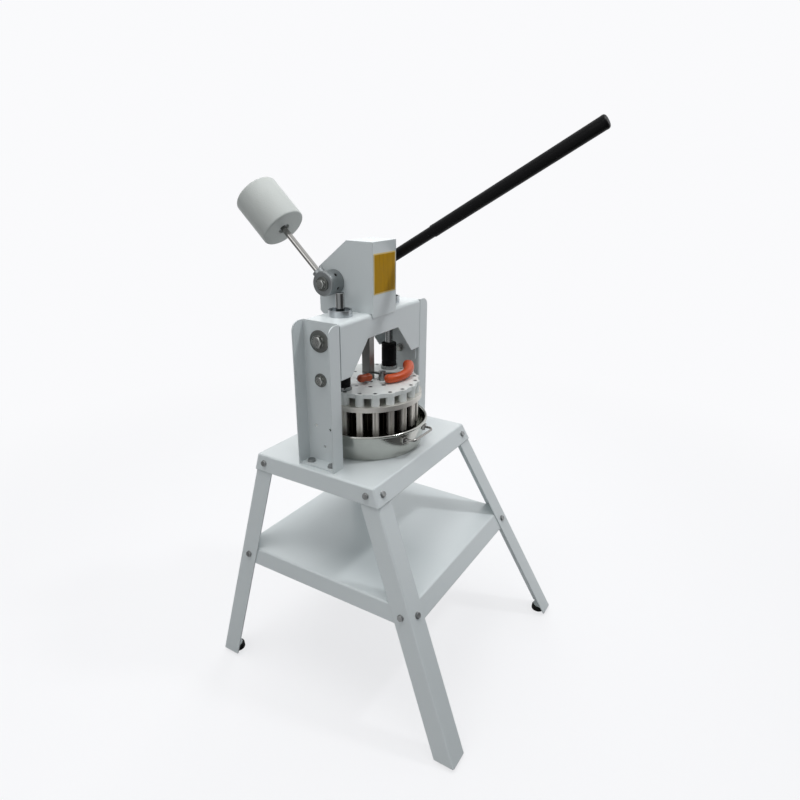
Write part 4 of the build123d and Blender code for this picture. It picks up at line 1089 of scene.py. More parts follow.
@dataclass
class Stand(SubAssembly):
    """Folded table and shelf on four splayed legs, with feet and bolts."""

    height: float = 577.0
    half_width: float = 221.0
    front: float = 161.5
    back: float = 182.0
    side_splay: float = 0.176
    front_splay: float = 0.485
    rear_splay: float = 0.160
    sheet: float = 3.0
    bolt: Bolt = Bolt(
        width=12.8, height=5.2, flange=16.0, flange_height=1.2, thread=4.0, pitch=1.25
    )
    bolt_reach: float = 27.0
    apron_bolt_height: float = 556.5
    shelf_bolt_height: float = 305.5
    foot_inset: float = 21.0
    foot_height: float = 14.0

    def corner(self, side: int, end: int, level: float, inset: float) -> tuple[float, float]:
        """Plan corner of the splayed stand.

        Args:
            side: -1 on the left and 1 on the right.
            end: -1 at the front and 1 at the back.
            level: Height of the corner.
            inset: Distance inside the stand's outline.

        Returns:
            Its x and y.
        """
        drop = self.height - level
        reach = self.front + self.front_splay * drop
        if end > 0:
            reach = self.back + self.rear_splay * drop
        x = side * (self.half_width + self.side_splay * drop - inset)
        return x, end * (reach - inset) + self.shop.axis[1]

    def bolt_frames(self, level: float, inset: float) -> Frames:
        """Frames on the outer faces of the sheets, one for each bolt at a level.

        Args:
            level: Height of the bolts.
            inset: Distance of the outer face inside the stand's outline.

        Returns:
            Two frames at each corner.
        """
        frames = []
        for side, end in CORNERS:
            splay = self.front_splay if end < 0 else self.rear_splay
            x, y = self.corner(side, end, level, inset)
            on_side = (x, y - end * self.bolt_reach, level)
            on_end = (x - side * self.bolt_reach, y, level)
            frames.append(frame_at(on_side, (side, 0.0, self.side_splay), (0.0, 1.0, 0.0)))
            frames.append(frame_at(on_end, (0.0, end, splay)))
        return frames

    def bolts(self, level: float, inset: float) -> Surface:
        """Bolts of one level: heads outside the sheets, nuts and thread ends inside."""
        nut = self.bolt.nut().placed(UPSIDE_DOWN).raised(-2 * self.sheet)
        return Surface.joined(self.bolt.head(), nut).placed(self.bolt_frames(level, inset))

    def feet(self) -> Surface:
        """Rubber feet: bells with two grips round them and a hollow underneath.

        Returns:
            All four.
        """
        profile = rounded((
            (0.0, 2.2, 0), (9.5, 2.2, 0.8), (10.5, 0.0, 0.8), (16.5, 0.0, 1.5), (19.0, 2.2, 1.6),
            (19.0, 5.0, 1.0), (17.4, 6.6, 0.8), (18.6, 8.2, 0.8), (18.6, 9.6, 0.8),
            (17.4, 11.0, 0.8), (18.4, 12.6, 0.8), (17.8, self.foot_height, 0.8),
            (0.0, self.foot_height, 0),
        ), steps=4)
        places = []
        for side, end in CORNERS:
            x, y = self.corner(side, end, self.foot_height, 2 * self.sheet)
            places.append(frame_at((x - side * self.foot_inset, y - end * self.foot_inset, 0.0)))
        return revolved(profile).placed(places)

    def build(self) -> None:
        """Makes the bolts and feet."""
        place, apron = self.shop.place, self.bolts(self.apron_bolt_height, 0.0)
        place(apron, "apron_bolts_flanged", "stand", ZINC, "zinc_steel", "apron_bolts")
        shelf = self.bolts(self.shelf_bolt_height, self.sheet)
        place(shelf, "shelf_bolts_flanged", "stand", ZINC, "zinc_steel", "shelf_bolts")
        feet = self.feet()
        place(feet, "feet_moulded", "stand", BLACK_RUBBER, "black_rubber", "rubber_feet")

    def dress(self) -> None:
        """Paints the sheets and legs."""
        self.shop.dress(
            WHITE_ENAMEL, "table_top", "lower_shelf", "leg_front_left", "leg_front_right",
            "leg_rear_left", "leg_rear_right", "foot_brackets",
        )


@dataclass
class PressFrame(SubAssembly):
    """Uprights, bridge and the bolts that tie them.

    Each row of ties is a thread size, the diameter of its washers and its height. The flange under
    a head is a share of the head's width, and a height.
    """

    ties: tuple[Triple, ...] = ((16.0, 51.0, 875.0), (12.0, 32.0, 784.0))
    tie_flange: Pair = (1.08, 0.9)
    tie_y: float = 10.5
    head_face: float = 176.5
    web_face: float = 173.5
    nut_face: float = 165.5
    washer_play: float = 0.2
    base_bolt: Bolt = Bolt(
        width=16.0, height=6.5, flange=20.0, flange_height=1.6, thread=5.0, pitch=1.5
    )
    base_x: float = 190.0
    base_y: Pair = (-24.1, 35.9)
    base_top: float = 581.0
    base_under: float = 574.0

    def tie_frames(self, face: float, way: int, level: float) -> Frames:
        """Frames on both ends of a tie at a level, looking out (way 1) or in (way -1)."""
        y = self.shop.axis[1] + self.tie_y
        return [frame_at((s * face, y, level), (way * s, 0, 0), UP) for s in SIDES]

    def tie(self, size: float, level: float) -> Surface:
        """Both bolts of one tie.

        Args:
            size: Thread size.
            level: Height of the tie.

        Returns:
            The bolts with their nuts.
        """
        heads = self.tie_frames(self.head_face, 1, level)
        nuts = self.tie_frames(self.nut_face, -1, level)
        return Bolt.sized(size, *self.tie_flange).between(heads, nuts)

    def tie_washer(self, size: float, washer: float, level: float) -> Surface:
        """Both flat washers at one level, their rims rounded.

        Args:
            size: Thread size.
            washer: Diameter of the washers.
            level: Height of the tie.

        Returns:
            The two washers.
        """
        bore, rim = size / 2 + self.washer_play, washer / 2
        corners = ((bore, 0, 0.3), (rim, 0, 0.5), (rim, WASHER, 0.9), (bore, WASHER, 0.3))
        flat = revolved(rounded(corners, closed=True), closed=True)
        return flat.placed(self.tie_frames(self.web_face, 1, level))

    def base_bolts(self) -> Surface:
        """Bolts that hold the uprights to the table.

        Returns:
            All four.
        """
        places = [(s * self.base_x, self.shop.axis[1] + y) for s in SIDES for y in self.base_y]
        heads = [frame_at((*place, self.base_top)) for place in places]
        nuts = [frame_at((*place, self.base_under), (0, 0, -1)) for place in places]
        return self.base_bolt.between(heads, nuts)

    def build(self) -> None:
        """Makes the fasteners."""
        place = self.shop.place
        ties = Surface.joined(*(self.tie(size, level) for size, _, level in self.ties))
        place(ties, "tie_bolts_flanged", "stand", BOLT_STEEL, "zinc_steel", "tie_bolts")
        washers = Surface.joined(*(self.tie_washer(*row) for row in self.ties))
        place(washers, "tie_washers_turned", "stand", WASHER_STEEL, "zinc_steel", "tie_washers")
        bolts = self.base_bolts()
        place(bolts, "base_bolts_flanged", "stand", ZINC, "zinc_steel", "upright_base_bolts")

    def dress(self) -> None:
        """Paints the sheets, and finishes the bushes and the guide block."""
        self.shop.dress(
            WHITE_ENAMEL, "upright_left", "upright_right", "bridge", "bridge_end_plates"
        )
        self.shop.dress(BUSH_STEEL, "guide_bushes")
        self.shop.dress(CAST_BLOCK, "column_guide")


@dataclass
class LeverHousing(SubAssembly):
    """Housing on the bridge with its cover screws and bare label.

    The screw's sizes are its head's radius and height, and its socket's width and depth.
    """

    front: float = 48.6
    label_half: float = 45.5
    label_bottom: float = 963.6
    label_top: float = 1056.1
    label_thickness: float = 0.8
    label_corner: float = 2.5
    label_edge: float = 0.25
    cover_face: float = 49.0
    screw: tuple[float, ...] = (5.0, 3.25, 4.0, 1.8)
    screw_places: tuple[Pair, ...] = (
        (-36.1, 1069.5), (-36.1, 932.5), (93.5, 1010.75), (93.5, 932.5),
    )

    @property
    def label_middle(self) -> np.ndarray:
        """Middle of the label's back."""
        height = (self.label_bottom + self.label_top) / 2
        return np.array((0.0, self.shop.axis[1] - self.front, height))

    @property
    def label_tall(self) -> float:
        """Half the label's height."""
        return (self.label_top - self.label_bottom) / 2

    def label(self) -> Surface:
        """Thin plate with rounded corners and a rounded front edge.

        Returns:
            The plate on the housing's front.
        """
        outline = rounded_box(self.label_half, self.label_tall, self.label_corner, steps=8)
        plate = slab(outline, self.label_thickness, self.label_edge, rings=6)
        return plate.placed(frame_at(self.label_middle, (0, -1, 0)))

    def screws(self) -> Surface:
        """Domed socket screws on the cover."""
        places = [(self.cover_face, self.shop.axis[1] + y, z) for y, z in self.screw_places]
        return socket_head(*self.screw).placed([frame_at(at, ACROSS, (0, 1, 0)) for at in places])

    def build(self) -> None:
        """Makes the label and the screws."""
        place, half = self.shop.place, (self.label_half * MM, self.label_tall * MM)
        film = replace(MUSTARD, middle=tuple(self.label_middle * MM), half=half)
        place(self.label(), "label_bare", "stand", film, "yellow_plate", "label_plate")
        place(self.screws(), "cover_screws_domed", "stand", ZINC, "zinc_steel", "cover_screws")

    def dress(self) -> None:
        """Paints the housing and finishes its bearings."""
        self.shop.dress(WHITE_ENAMEL, "housing_box", "housing_cover")
        self.shop.dress(BRONZE, "pivot_bearings")


@dataclass
class Lever(SubAssembly):
    """Shaft, hubs, counterweight and handle; lengths run from the pivot, angles are in degrees."""

    hub_end: float = 93.3
    washer: float = 33.5
    bolt: Bolt = Bolt.sized(12.0, flange=1.1, flange_height=0.8)
    rod_x: float = 76.0
    rod_angle: float = 43.0
    rod_radius: float = 7.0
    rod_play: float = 0.1
    weight_start: float = 168.0
    weight_end: float = 279.0
    weight_radius: float = 54.48
    counterbore: float = 14.0
    counterbore_depth: float = 14.0
    nut_width: float = 22.0
    nut_height: float = 10.0
    handle_x: float = 73.5
    handle_angle: float = 31.0
    reach: float = 659.0
    sleeve_start: float = 228.0
    sleeve_radius: float = 14.5
    bar_radius: float = 13.0
    cap_length: float = 8.0
    cap_corner: float = 6.0

    def arm_frame(self, x: float, way: int, angle: float) -> np.ndarray:
        """Frame on the pivot axis whose Z runs out along an arm, back (way 1) or forward (-1)."""
        tilt = math.radians(angle)
        return frame_at(self.shop.pivot + (x, 0, 0), (0, way * math.cos(tilt), math.sin(tilt)))

    def weight(self) -> Surface:
        """Counterweight: a turned drum with rounded rims, a counterbore and a dimple.

        Returns:
            The drum along the rod.
        """
        low, high, radius = self.weight_start, self.weight_end, self.weight_radius
        floor, hole = low + self.counterbore_depth, self.counterbore
        bore = self.rod_radius + self.rod_play
        profile = rounded((
            (bore, floor + 6, 0), (bore, floor, 0.4), (hole, floor, 0.8), (hole, low, 1.2),
            (radius, low, 4.0), (radius, high, 4.0), (9.0, high, 1.5), (7.5, high - 1.2, 1.0),
            (0.0, high - 1.2, 0),
        ), steps=8)
        return revolved(profile, 128)

    def lock_nut(self) -> Surface:
        """Nut in the counterbore."""
        seat = self.weight_start + self.counterbore_depth - self.nut_height
        return hex_nut(self.nut_width, self.nut_height, self.rod_radius).raised(seat)

    def sleeve(self) -> Surface:
        """Grip sleeve with a rolled lip where it starts, a seam at its cap and a rounded end.

        Returns:
            The sleeve along the handle.
        """
        r, start, seam = self.sleeve_radius, self.sleeve_start, self.reach - self.cap_length
        profile = rounded((
            (self.bar_radius, start + 8.0, 0), (self.bar_radius, start, 0.3), (r, start, 0.6),
            (r, start + 9.0, 0.4), (r - 0.25, start + 9.6, 0.2), (r - 0.25, seam - 0.8, 0.2),
            (r, seam - 0.4, 0.2), (r, self.reach, self.cap_corner), (0.0, self.reach, 0),
        ), steps=8)
        return revolved(profile)

    def end_frames(self) -> Frames:
        """Frames on the shaft's ends, looking outwards."""
        ends = [(s, self.shop.pivot + (s * self.hub_end, 0, 0)) for s in SIDES]
        return [frame_at(place, (s, 0, 0), UP) for s, place in ends]

    def end_washers(self) -> Surface:
        """Flat washers on the shaft's ends.

        Returns:
            Both washers.
        """
        rim = self.washer / 2
        profile = rounded(((0, 0, 0), (rim, 0, 0.5), (rim, WASHER, 0.9), (0, WASHER, 0)))
        return revolved(profile).placed(self.end_frames())

    def build(self) -> None:
        """Makes the counterweight, its nut, the grip sleeve and the end bolts."""
        place = self.shop.place
        rod = self.arm_frame(-self.rod_x, 1, self.rod_angle)
        weight, nut = self.weight().placed(rod), self.lock_nut().placed(rod)
        place(weight, "counterweight_cast", "lever", WHITE_CASTING, "white_iron", "counterweight")
        place(nut, "rod_nut", "lever", GUNMETAL, "dark_iron", "rod_lock_nut")
        sleeve = self.sleeve().placed(self.arm_frame(self.handle_x, -1, self.handle_angle))
        covers = ("handle_sleeve", "handle_cap")
        place(sleeve, "grip_sleeve", "lever", BLACK_SLEEVE, "black_plastic", *covers)
        bolts = self.bolt.head().raised(WASHER).placed(self.end_frames())
        place(bolts, "end_bolts_flanged", "lever", BOLT_STEEL, "zinc_steel", "hub_end_bolts")
        place(self.end_washers(), "end_washers", "lever", WASHER_STEEL, "zinc_steel")

    def dress(self) -> None:
        """Finishes the shaft, gear, hubs, rod and bar."""
        self.shop.dress(GEAR_STEEL, "lever_shaft", "sector_gear", "gear_key")
        self.shop.dress(GUNMETAL, "weight_hub", "handle_hub")
        # The set screws share the near-black steel whose colour paints shade in the cutting head.
        self.shop.dress(SHADE_DARK_STEEL, "hub_set_screws")
        self.shop.dress(ROD_CHROME, "counterweight_rod")
        self.shop.dress(BLACK_PAINT, "handle_bar")


@dataclass(frozen=True)
class StemRing:
    """Ring of press stems: their number, turn in degrees and pitch, and each one's section."""

    count: int
    turn: float
    pitch: float
    radial: float
    tangential: float
    slot: float
    slot_depth: float = 1.6

    def stem(self, length: float) -> Surface:
        """Stem with an upright slot in its outer face; X points out from the column.

        Args:
            length: Length of the stem.

        Returns:
            The stem on z = 0.
        """
        a, b, c = self.radial / 2, self.tangential / 2, self.slot / 2
        floor = a - self.slot_depth
        outline = rounded((
            (-a, -b, 0.8), (a, -b, 0.8), (a, -c, 0.3), (floor, -c, 0.2), (floor, c, 0.2),
            (a, c, 0.3), (a, b, 0.8), (-a, b, 0.8),
        ), closed=True, steps=3)
        return slab(outline, length, 0.4)

    def frames(self, foot: np.ndarray) -> Frames:
        """Frames round an upright axis, X pointing outwards.

        Args:
            foot: Point of the axis that is level with the frames.

        Returns:
            A frame for each stem.
        """
        angle = np.radians(self.turn + 360.0 * np.arange(self.count) / self.count)
        out = np.stack((np.cos(angle), np.sin(angle), 0.0 * angle), axis=-1)
        return [frame_at(foot + self.pitch * way, UP, way) for way in out]


@dataclass
class CuttingHead(SubAssembly):
    """Knives, carrier, press stems, disc, guides and stop sleeves."""

    stem_low: float = 637.2
    stem_high: float = 712.8
    rings: tuple[StemRing, ...] = (
        StemRing(count=20, turn=6.0, pitch=117.0, radial=16.0, tangential=15.0, slot=2.2),
        StemRing(count=12, turn=8.0, pitch=65.0, radial=12.0, tangential=12.0, slot=1.6),
        StemRing(count=4, turn=45.0, pitch=28.0, radial=10.0, tangential=10.0, slot=1.4),
    )
    guide_x: float = 101.5
    guide_y: float = 5.5
    guide_radius: float = 10.0
    guide_play: float = 0.05
    sleeve_radius: float = 19.5
    sleeve_low: float = 752.6
    sleeve_high: float = 812.6
    groove_depth: float = 0.8

    def stems(self) -> Surface:
        """All the stems, ring by ring."""
        foot, length = self.shop.axis + (0, 0, self.stem_low), self.stem_high - self.stem_low
        return Surface.joined(*(ring.stem(length).placed(ring.frames(foot)) for ring in self.rings))

    def stops(self) -> Surface:
        """Rubber stops: thick tubes with rounded rims and two shallow grooves.

        Returns:
            Both stops on their guides.
        """
        r, low, high = self.sleeve_radius, self.sleeve_low, self.sleeve_high
        bore, groove = self.guide_radius + self.guide_play, r - self.groove_depth
        profile = rounded((
            (bore, low, 0.6), (r, low, 2.5), (r, low + 9.0, 0.6), (groove, low + 9.8, 0.4),
            (groove, low + 11.2, 0.4), (r, low + 12.0, 0.6), (r, high - 12.0, 0.6),
            (groove, high - 11.2, 0.4), (groove, high - 9.8, 0.4), (r, high - 9.0, 0.6),
            (r, high, 2.5), (bore, high, 0.6),
        ), closed=True, steps=4)
        places = [(s * self.guide_x, self.shop.axis[1] + self.guide_y, 0) for s in SIDES]
        return revolved(profile, closed=True).placed([frame_at(place) for place in places])

    def build(self) -> None:
        """Makes the slotted stems and the stop sleeves."""
        place, stems, stops = self.shop.place, self.stems(), self.stops()
        place(stems, "stems_slotted", "press_head", STEM_STEEL, "ground_steel", "press_stems")
        place(stops, "stops_grooved", "press_head", BLACK_RUBBER, "black_rubber", "stop_sleeves")

    def dress(self) -> None:
        """Finishes the knives, the carrier, the disc and the guides."""
        # The knives and press blocks wear steel whose near-black colour paints the shade between
        # the stems.
        self.shop.dress(
            SHADE_DARK_STEEL, "outer_knives", "middle_knives", "inner_knife_cross", "ring_knives",
            "press_blocks",
        )
        self.shop.dress(self.shop.turned(WARM_RING), "knife_carrier")
        self.shop.dress(GEAR_STEEL, "rack_column", "column_foot")
        self.shop.dress(WHITE_DISC, "press_disc", "press_spacers")
        self.shop.dress(GUNMETAL, "press_screws")
        self.shop.dress(CHROME, "guide_left", "guide_right")


@dataclass
class LockLevers(SubAssembly):
    """Two small lock levers on the press disc, with moulded grips; heights are over the disc."""

    disc_top: float = 742.9
    right_points: tuple[Triple, ...] = (
        (-9.0, -64.5, 12.5), (44.0, -82.0, 15.5), (88.0, -62.0, 21.5),
    )
    right_radii: Pair = (10.5, 14.0)
    left_points: tuple[Triple, ...] = ((-37.0, -25.0, 17.0), (-55.0, -15.0, 17.0))
    left_radii: Pair = (9.5, 9.5)
    squareness: float = 2.4

    def bow(self, points: Sequence[Triple], steps: int) -> tuple[np.ndarray, np.ndarray]:
        """Circle through three points, as a path, and its plane's normal.

        The centre is found from the two chords a and b from the first point and n = a x b:
        c = ((a.a)(b x n) + (b.b)(n x a)) / 2 n.n. The path turns about it from the first point
        to the last.

        Args:
            points: Three points.
            steps: Points of the path.

        Returns:
            Array (steps, 3) and the normal.
        """
        p, q, r = np.array(points, float)
        a, b = q - p, r - p
        n = np.cross(a, b)
        spoke = (a @ a * np.cross(b, n) + b @ b * np.cross(n, a)) / (2 * n @ n)
        centre, axis = p + spoke, n / np.linalg.norm(n)
        x = -spoke / np.linalg.norm(spoke)
        y = np.cross(axis, x)
        end = math.atan2((r - centre) @ y, (r - centre) @ x) % TURN
        angle = np.linspace(0.0, end, steps)[:, None]
        return centre + np.linalg.norm(spoke) * (np.cos(angle) * x + np.sin(angle) * y), axis

    def grip(self, path: np.ndarray, across: Sequence[float], radii: Pair) -> Surface:
        """Moulded grip: a squarish section that grows from one radius to the other.

        With t from 0 to 1 along the path, the size is radius(t) * (0.94 + 0.06 cos(2 pi t)), and
        it falls to nothing over a half circle at each end.

        Args:
            path: Array (n, 3).
            across: Normal of the path's plane.
            radii: Radius at the first end and at the last.

        Returns:
            The surface.
        """
        t = np.linspace(0.0, 1.0, len(path))
        body = (radii[0] + (radii[1] - radii[0]) * t) * (0.94 + 0.06 * np.cos(TURN * t))
        turn = np.linspace(0.0, TURN / 4, 12)[:, None]
        first, last = path[0] - path[1], path[-1] - path[-2]
        first, last = first / np.linalg.norm(first), last / np.linalg.norm(last)
        head = path[0] + radii[0] * np.cos(turn) * first
        tail = path[-1] + radii[1] * np.sin(turn) * last
        line = np.concatenate((head[:-1], path, tail[1:]))
        start, end = radii[0] * np.sin(turn[:-1, 0]), radii[1] * np.cos(turn[1:, 0])
        size = np.concatenate((start, body, end))
        return carried(loop_of(self.squareness, 28), line, across, size)

    def build(self) -> None:
        """Makes the two grips."""
        place, lift = self.shop.place, self.shop.axis + (0, 0, self.disc_top)
        path, across = self.bow(self.right_points, 40)
        right = self.grip(path + lift, across, self.right_radii)
        place(right, "grip_right", "lock_right", ORANGE_GRIP, "orange_grip", "lock_grip_right")
        ends = np.array(self.left_points, float)
        share = np.linspace(0.0, 1.0, 16)[:, None]
        straight = ends[0] * (1 - share) + ends[1] * share + lift
        left = self.grip(straight, UP, self.left_radii)
        # The left grip's darker orange is painted shade; it is the same moulding as the right grip.
        place(left, "grip_left", "lock_left", SHADED_ORANGE_GRIP, "orange_grip", "lock_grip_left")

    def dress(self) -> None:
        """Finishes the plates, bases and pins."""
        self.shop.dress(ZINC, "lock_lever_right", "lock_lever_left", "lock_pins")
        self.shop.dress(GUNMETAL, "lock_bases")


@dataclass
class DoughPan(SubAssembly):
    """Spun pan with a rolled rim, a hollow under its floor and two wire loops.

    Heights are over the table, and the bead's turn is in degrees.
    """

    table: float = 577.0
    base: float = 133.5
    hollow: float = 60.0
    hollow_depth: float = 0.4
    hollow_slope: float = 2.0
    hollow_bend: float = 3.0
    wall: float = 1.2
    corner: float = 3.5
    bead: float = 3.5
    bead_turn: Pair = (227.0, 540.0)
    rim: float = 149.4
    height: float = 68.6
    loop_half: float = 47.0
    loop_reach: float = 162.0
    loop_height: float = 48.0
    wire: float = 3.0
    wire_sunk: float = 1.0
    wire_end: float = 1e-3
    bend: float = 12.0
    boss_half: float = 8.0
    boss_height: float = 9.5
    boss_corner: float = 3.0
    boss_edge: float = 2.5
    boss_sunk: float = 2.5
    boss_way: Triple = (0.33, 1.0, -0.16)

    def tray(self) -> Surface:
        """Pan: floor, corner, sloping wall and a rim rolled outwards round a circle.

        Returns:
            The pan on z = 0.
        """
        wall, base = self.wall, self.base
        middle = np.array((self.rim - self.bead, self.height - self.bead))
        turn = np.radians(np.linspace(*self.bead_turn, 28))
        roll = middle + self.bead * np.stack((np.cos(turn), np.sin(turn)), axis=-1)
        inner, deep, bend = self.hollow, self.hollow_depth, self.hollow_bend
        below = (
            (0, deep, 0), (inner, deep, bend), (inner + self.hollow_slope, 0, bend),
            (base, 0, self.corner), (*roll[0], 0),
        )
        above = ((*roll[-1], 0), (base - wall, wall, self.corner - wall), (0, wall, 0))
        outside, inside = rounded(below, steps=7), rounded(above, steps=9)
        return revolved(np.concatenate((outside, roll[1:], inside[1:])), 192)

    def wall_at(self, level: float) -> float:
        """Outer radius of the wall at a height over the table."""
        top = self.rim - 2 * self.bead + self.wall
        return self.base + (top - self.base) * level / (self.height - self.bead)

    def loops(self) -> Surface:
        """Wire loops with bosses on the wall: a circle carried round a bracket with bent corners.

        Returns:
            Both loops.
        """
        half, far, level = self.loop_half, self.loop_reach, self.loop_height
        face = math.sqrt(self.wall_at(level) ** 2 - half**2)
        start = face - self.wire_sunk
        flat = rounded((
            (-half, start, 0), (-half, far, self.bend), (half, far, self.bend), (half, start, 0),
        ), steps=14)
        path = np.concatenate((flat, np.full((len(flat), 1), level)), axis=1)
        size = np.full(len(path) + 2, self.wire)
        size[[0, -1]] = 0.0
        back = np.array((0.0, self.wire_end, 0.0))
        ended = np.concatenate((path[:1] - back, path, path[-1:] - back))
        wire = carried(loop_of(2.0, 16), ended, UP, size)
        outline = rounded_box(self.boss_half, self.boss_half, self.boss_corner)
        x, y, z = self.boss_way
        seats = [frame_at((s * half, face - self.boss_sunk, level), (s * x, y, z)) for s in SIDES]
        bosses = slab(outline, self.boss_height, self.boss_edge).placed(seats)
        front = Surface.joined(wire, bosses)
        return Surface.joined(front, front.placed(np.diag((-1.0, -1.0, 1.0, 1.0))))

    def build(self) -> None:
        """Makes the pan and its loops."""
        place, seat = self.shop.place, frame_at(self.shop.axis + (0, 0, self.table))
        tray, loops = self.tray().placed(seat), self.loops().placed(seat)
        place(tray, "pan_spun", "dough_pan", self.shop.turned(STAINLESS), "stainless", "pan")
        place(loops, "pan_loops", "dough_pan", WIRE, "stainless", "pan_handles")


# Floor, light and camera; lengths in metres


@dataclass(frozen=True)
class Wall:
    """Darker wall that only a gloss shows.

    It lies that way, fades in between two cosines, and leaves a share of the backdrop's white.
    """

    way: Triple
    fade: Pair
    share: float

    def level(self, w: Wiring, ahead: Socket) -> Socket:
        """Share of the backdrop's white that is left in a direction."""
        along = w.vector("DOT_PRODUCT", ahead, self.way, "Value")
        return w.span(along, *self.fade, to_low=1.0, to_high=self.share)


@dataclass(frozen=True)
class Lamp:
    """Soft square lamp: its place, the point it looks at, its side, watts and tint.

    A lamp without gloss does not show in reflections.
    """

    name: str
    at: Triple
    aim: Triple
    side: float
    power: float
    tint: Colour = (1.0, 1.0, 1.0)
    gloss: bool = True

    def build(self) -> None:
        """Hangs the lamp."""
        data = bpy.data.lights.new(self.name, "AREA")
        data.shape, data.size = "SQUARE", self.side
        data.energy, data.color = self.power, self.tint
        lamp = bpy.data.objects.new(self.name, data)
        lamp.location = self.at
        ahead = Vector(self.aim) - Vector(self.at)
        lamp.rotation_euler = ahead.to_track_quat("-Z", "Y").to_euler()
        lamp.visible_glossy = self.gloss
        bpy.context.scene.collection.objects.link(lamp)


@dataclass(frozen=True)
class Camera:
    """Camera at the photograph's angle, for a square picture; turn, dip and roll in radians."""

    place: Triple = (-1.17393, -0.71890, 1.22116)
    turn: float = 1.04412
    dip: float = 0.36206
    roll: float = 0.01680
    sensor: float = 36.0
    lens: float = 26.877
    shift: Pair = (-0.0209, 0.0027)
    clip: Pair = (0.01, 100.0)

    def build(self) -> None:
        """Sets the camera up."""
        sin_turn, cos_turn = math.sin(self.turn), math.cos(self.turn)
        sin_roll, cos_roll = math.sin(self.roll), math.cos(self.roll)
        flat, drop = math.cos(self.dip), -math.sin(self.dip)
        ahead = np.array((sin_turn * flat, cos_turn * flat, drop))
        level = np.array((cos_turn, -sin_turn, 0.0))
        rise = np.cross(level, ahead)
        right, up = cos_roll * level + sin_roll * rise, -sin_roll * level + cos_roll * rise
        pose = np.eye(4)
        pose[:3] = np.stack((right, up, -ahead, self.place), axis=1)
        data = bpy.data.cameras.new("camera")
        data.sensor_width, data.lens = self.sensor, self.lens
        data.shift_x, data.shift_y = self.shift
        data.clip_start, data.clip_end = self.clip
        camera = bpy.data.objects.new("camera", data)
        camera.matrix_world = Matrix(pose.tolist())
        bpy.context.scene.collection.objects.link(camera)
        bpy.context.scene.camera = camera


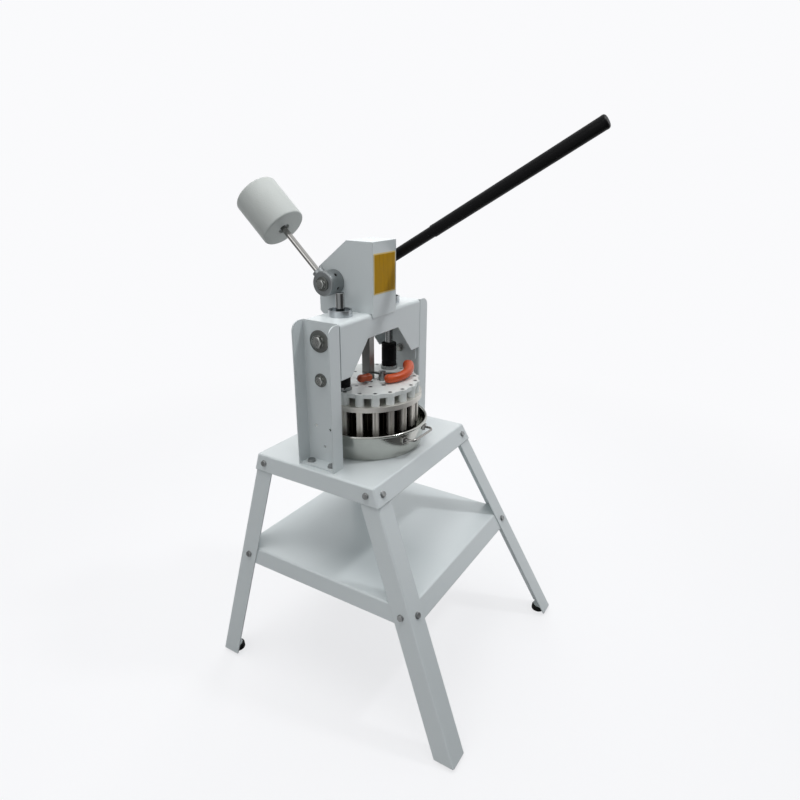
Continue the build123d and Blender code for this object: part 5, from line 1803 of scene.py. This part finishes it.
@dataclass(frozen=True)
class Studio:
    """Pale floor, soft lights and a camera.

    The lamps are a broad one overhead, one at the back right, a small one high at the front
    right and a weak one at the left. The floor's rings and the gap over them are in millimetres.
    """

    backdrop: Colour = (0.955, 0.957, 0.972)
    skylight: Colour = (0.93, 0.97, 1.0)
    ambient: float = 0.31
    floor_rings: tuple[Pair, ...] = (
        (0.0, 0.0), (1500.0, 0.0), (4000.0, 0.0), (12000.0, 0.0), (12000.0, -5.0), (0.0, -5.0),
    )
    floor_gap: float = 0.5
    floor_glow: float = 0.74
    floor_paint: Colour = (0.24, 0.24, 0.243)
    floor_bounce: Colour = (0.46, 0.46, 0.465)
    floor_fade: Pair = (0.8, 2.6)
    walls: tuple[Wall, ...] = (
        Wall(way=(-0.04, -1.0, 0.0), fade=(0.6, 0.86), share=0.12),
        Wall(way=(-0.86, -0.5, 0.05), fade=(0.2, 0.95), share=0.6),
        Wall(way=(-0.55, 0.83, 0.0), fade=(0.76, 0.95), share=0.25),
    )
    lamps: tuple[Lamp, ...] = (
        Lamp("overhead", (-0.2, 0.55, 3.15), (0.0, 0.1, 0.6), side=2.0, power=46.0, gloss=False),
        Lamp("back_right", (1.9, 0.9, 1.55), (0.0, 0.0, 0.4), side=1.4, power=17.0, gloss=False),
        Lamp(
            "front_right", (0.66, -1.3, 2.85), (0.0, 0.06, 0.95), side=0.25, power=19.0,
            tint=(0.97, 0.98, 1.0),
        ),
        Lamp("left", (-2.4, 0.3, 2.0), (0.0, 0.1, 0.6), side=1.6, power=9.6),
    )

    def white(self, w: Wiring, ahead: Socket) -> Socket:
        """Share of the backdrop's white that a gloss shows in a direction."""
        return reduce(w.times, [wall.level(w, ahead) for wall in self.walls])

    def rays(self, w: Wiring) -> tuple[Socket, Socket]:
        """Whether a ray comes from the camera or through glass, and whether it is off a gloss."""
        path = w.node("ShaderNodeLightPath")
        return w.most(path["Is Camera Ray"], path["Is Transmission Ray"]), path["Is Glossy Ray"]

    def world(self) -> None:
        """World that lights softly, and shows as a white backdrop with darker walls in a gloss."""
        world = bpy.data.worlds.new("studio")
        bpy.context.scene.world = world
        world.use_nodes = True
        w = Wiring(world.node_tree)
        w.tree.nodes.clear()
        clear, gloss = self.rays(w)
        walls = self.white(w, w.node("ShaderNodeTexCoord")["Generated"])
        level = w.span(gloss, 0.0, 1.0, 1.0, walls)
        soft = {"Color": self.skylight, "Strength": self.ambient}
        light = w.node("ShaderNodeBackground", soft)[0]
        white = w.node("ShaderNodeBackground", {"Color": self.backdrop, "Strength": level})[0]
        both = w.node("ShaderNodeMixShader", {0: w.most(clear, gloss), 1: light, 2: white})[0]
        w.node("ShaderNodeOutputWorld", {"Surface": both})

    def floor(self) -> None:
        """Round floor that keeps the machine's shadow and fades into the backdrop away from it."""
        rings = revolved(np.array(self.floor_rings), 64)
        made = rings.raised(-self.floor_gap).piece("floor")
        material = bpy.data.materials.new("floor")
        material.use_nodes = True
        w = Wiring(material.node_tree)
        w.tree.nodes.clear()
        at = w.node("ShaderNodeTexCoord")["Object"]
        clear, gloss = self.rays(w)
        matt, bounce = (
            w.node("ShaderNodeBsdfDiffuse", {"Color": colour})[0]
            for colour in (self.floor_paint, self.floor_bounce)
        )
        walls = self.white(w, w.vector("NORMALIZE", at))
        glow, white, wall = (
            w.node("ShaderNodeEmission", {"Color": self.backdrop, "Strength": level})[0]
            for level in (self.floor_glow, 1.0, walls)
        )
        near = w.node("ShaderNodeAddShader", {0: matt, 1: glow})[0]
        far = w.span(w.vector("LENGTH", at, output="Value"), *self.floor_fade)
        shown = w.node("ShaderNodeMixShader", {0: far, 1: near, 2: white})[0]
        plain = w.node("ShaderNodeMixShader", {0: clear, 1: bounce, 2: shown})[0]
        both = w.node("ShaderNodeMixShader", {0: gloss, 1: plain, 2: wall})[0]
        w.node("ShaderNodeOutputMaterial", {"Surface": both})
        made.data.materials.append(material)

    def build(self) -> None:
        """Sets up the whole studio."""
        bpy.context.scene.view_settings.view_transform = "Standard"
        self.world()
        self.floor()
        for lamp in self.lamps:
            lamp.build()
        Camera().build()


def main() -> None:
    """Builds and dresses every sub-assembly, then sets up the studio."""
    logging.basicConfig(level=logging.INFO, format="%(name)s: %(message)s")
    shop = Workshop()
    for make in (Stand, PressFrame, LeverHousing, Lever, CuttingHead, LockLevers, DoughPan):
        assembly = make(shop)
        assembly.build()
        assembly.dress()
        log.info("finished %s", make.__name__)
    Studio().build()


if __name__ == "__main__":
    main()
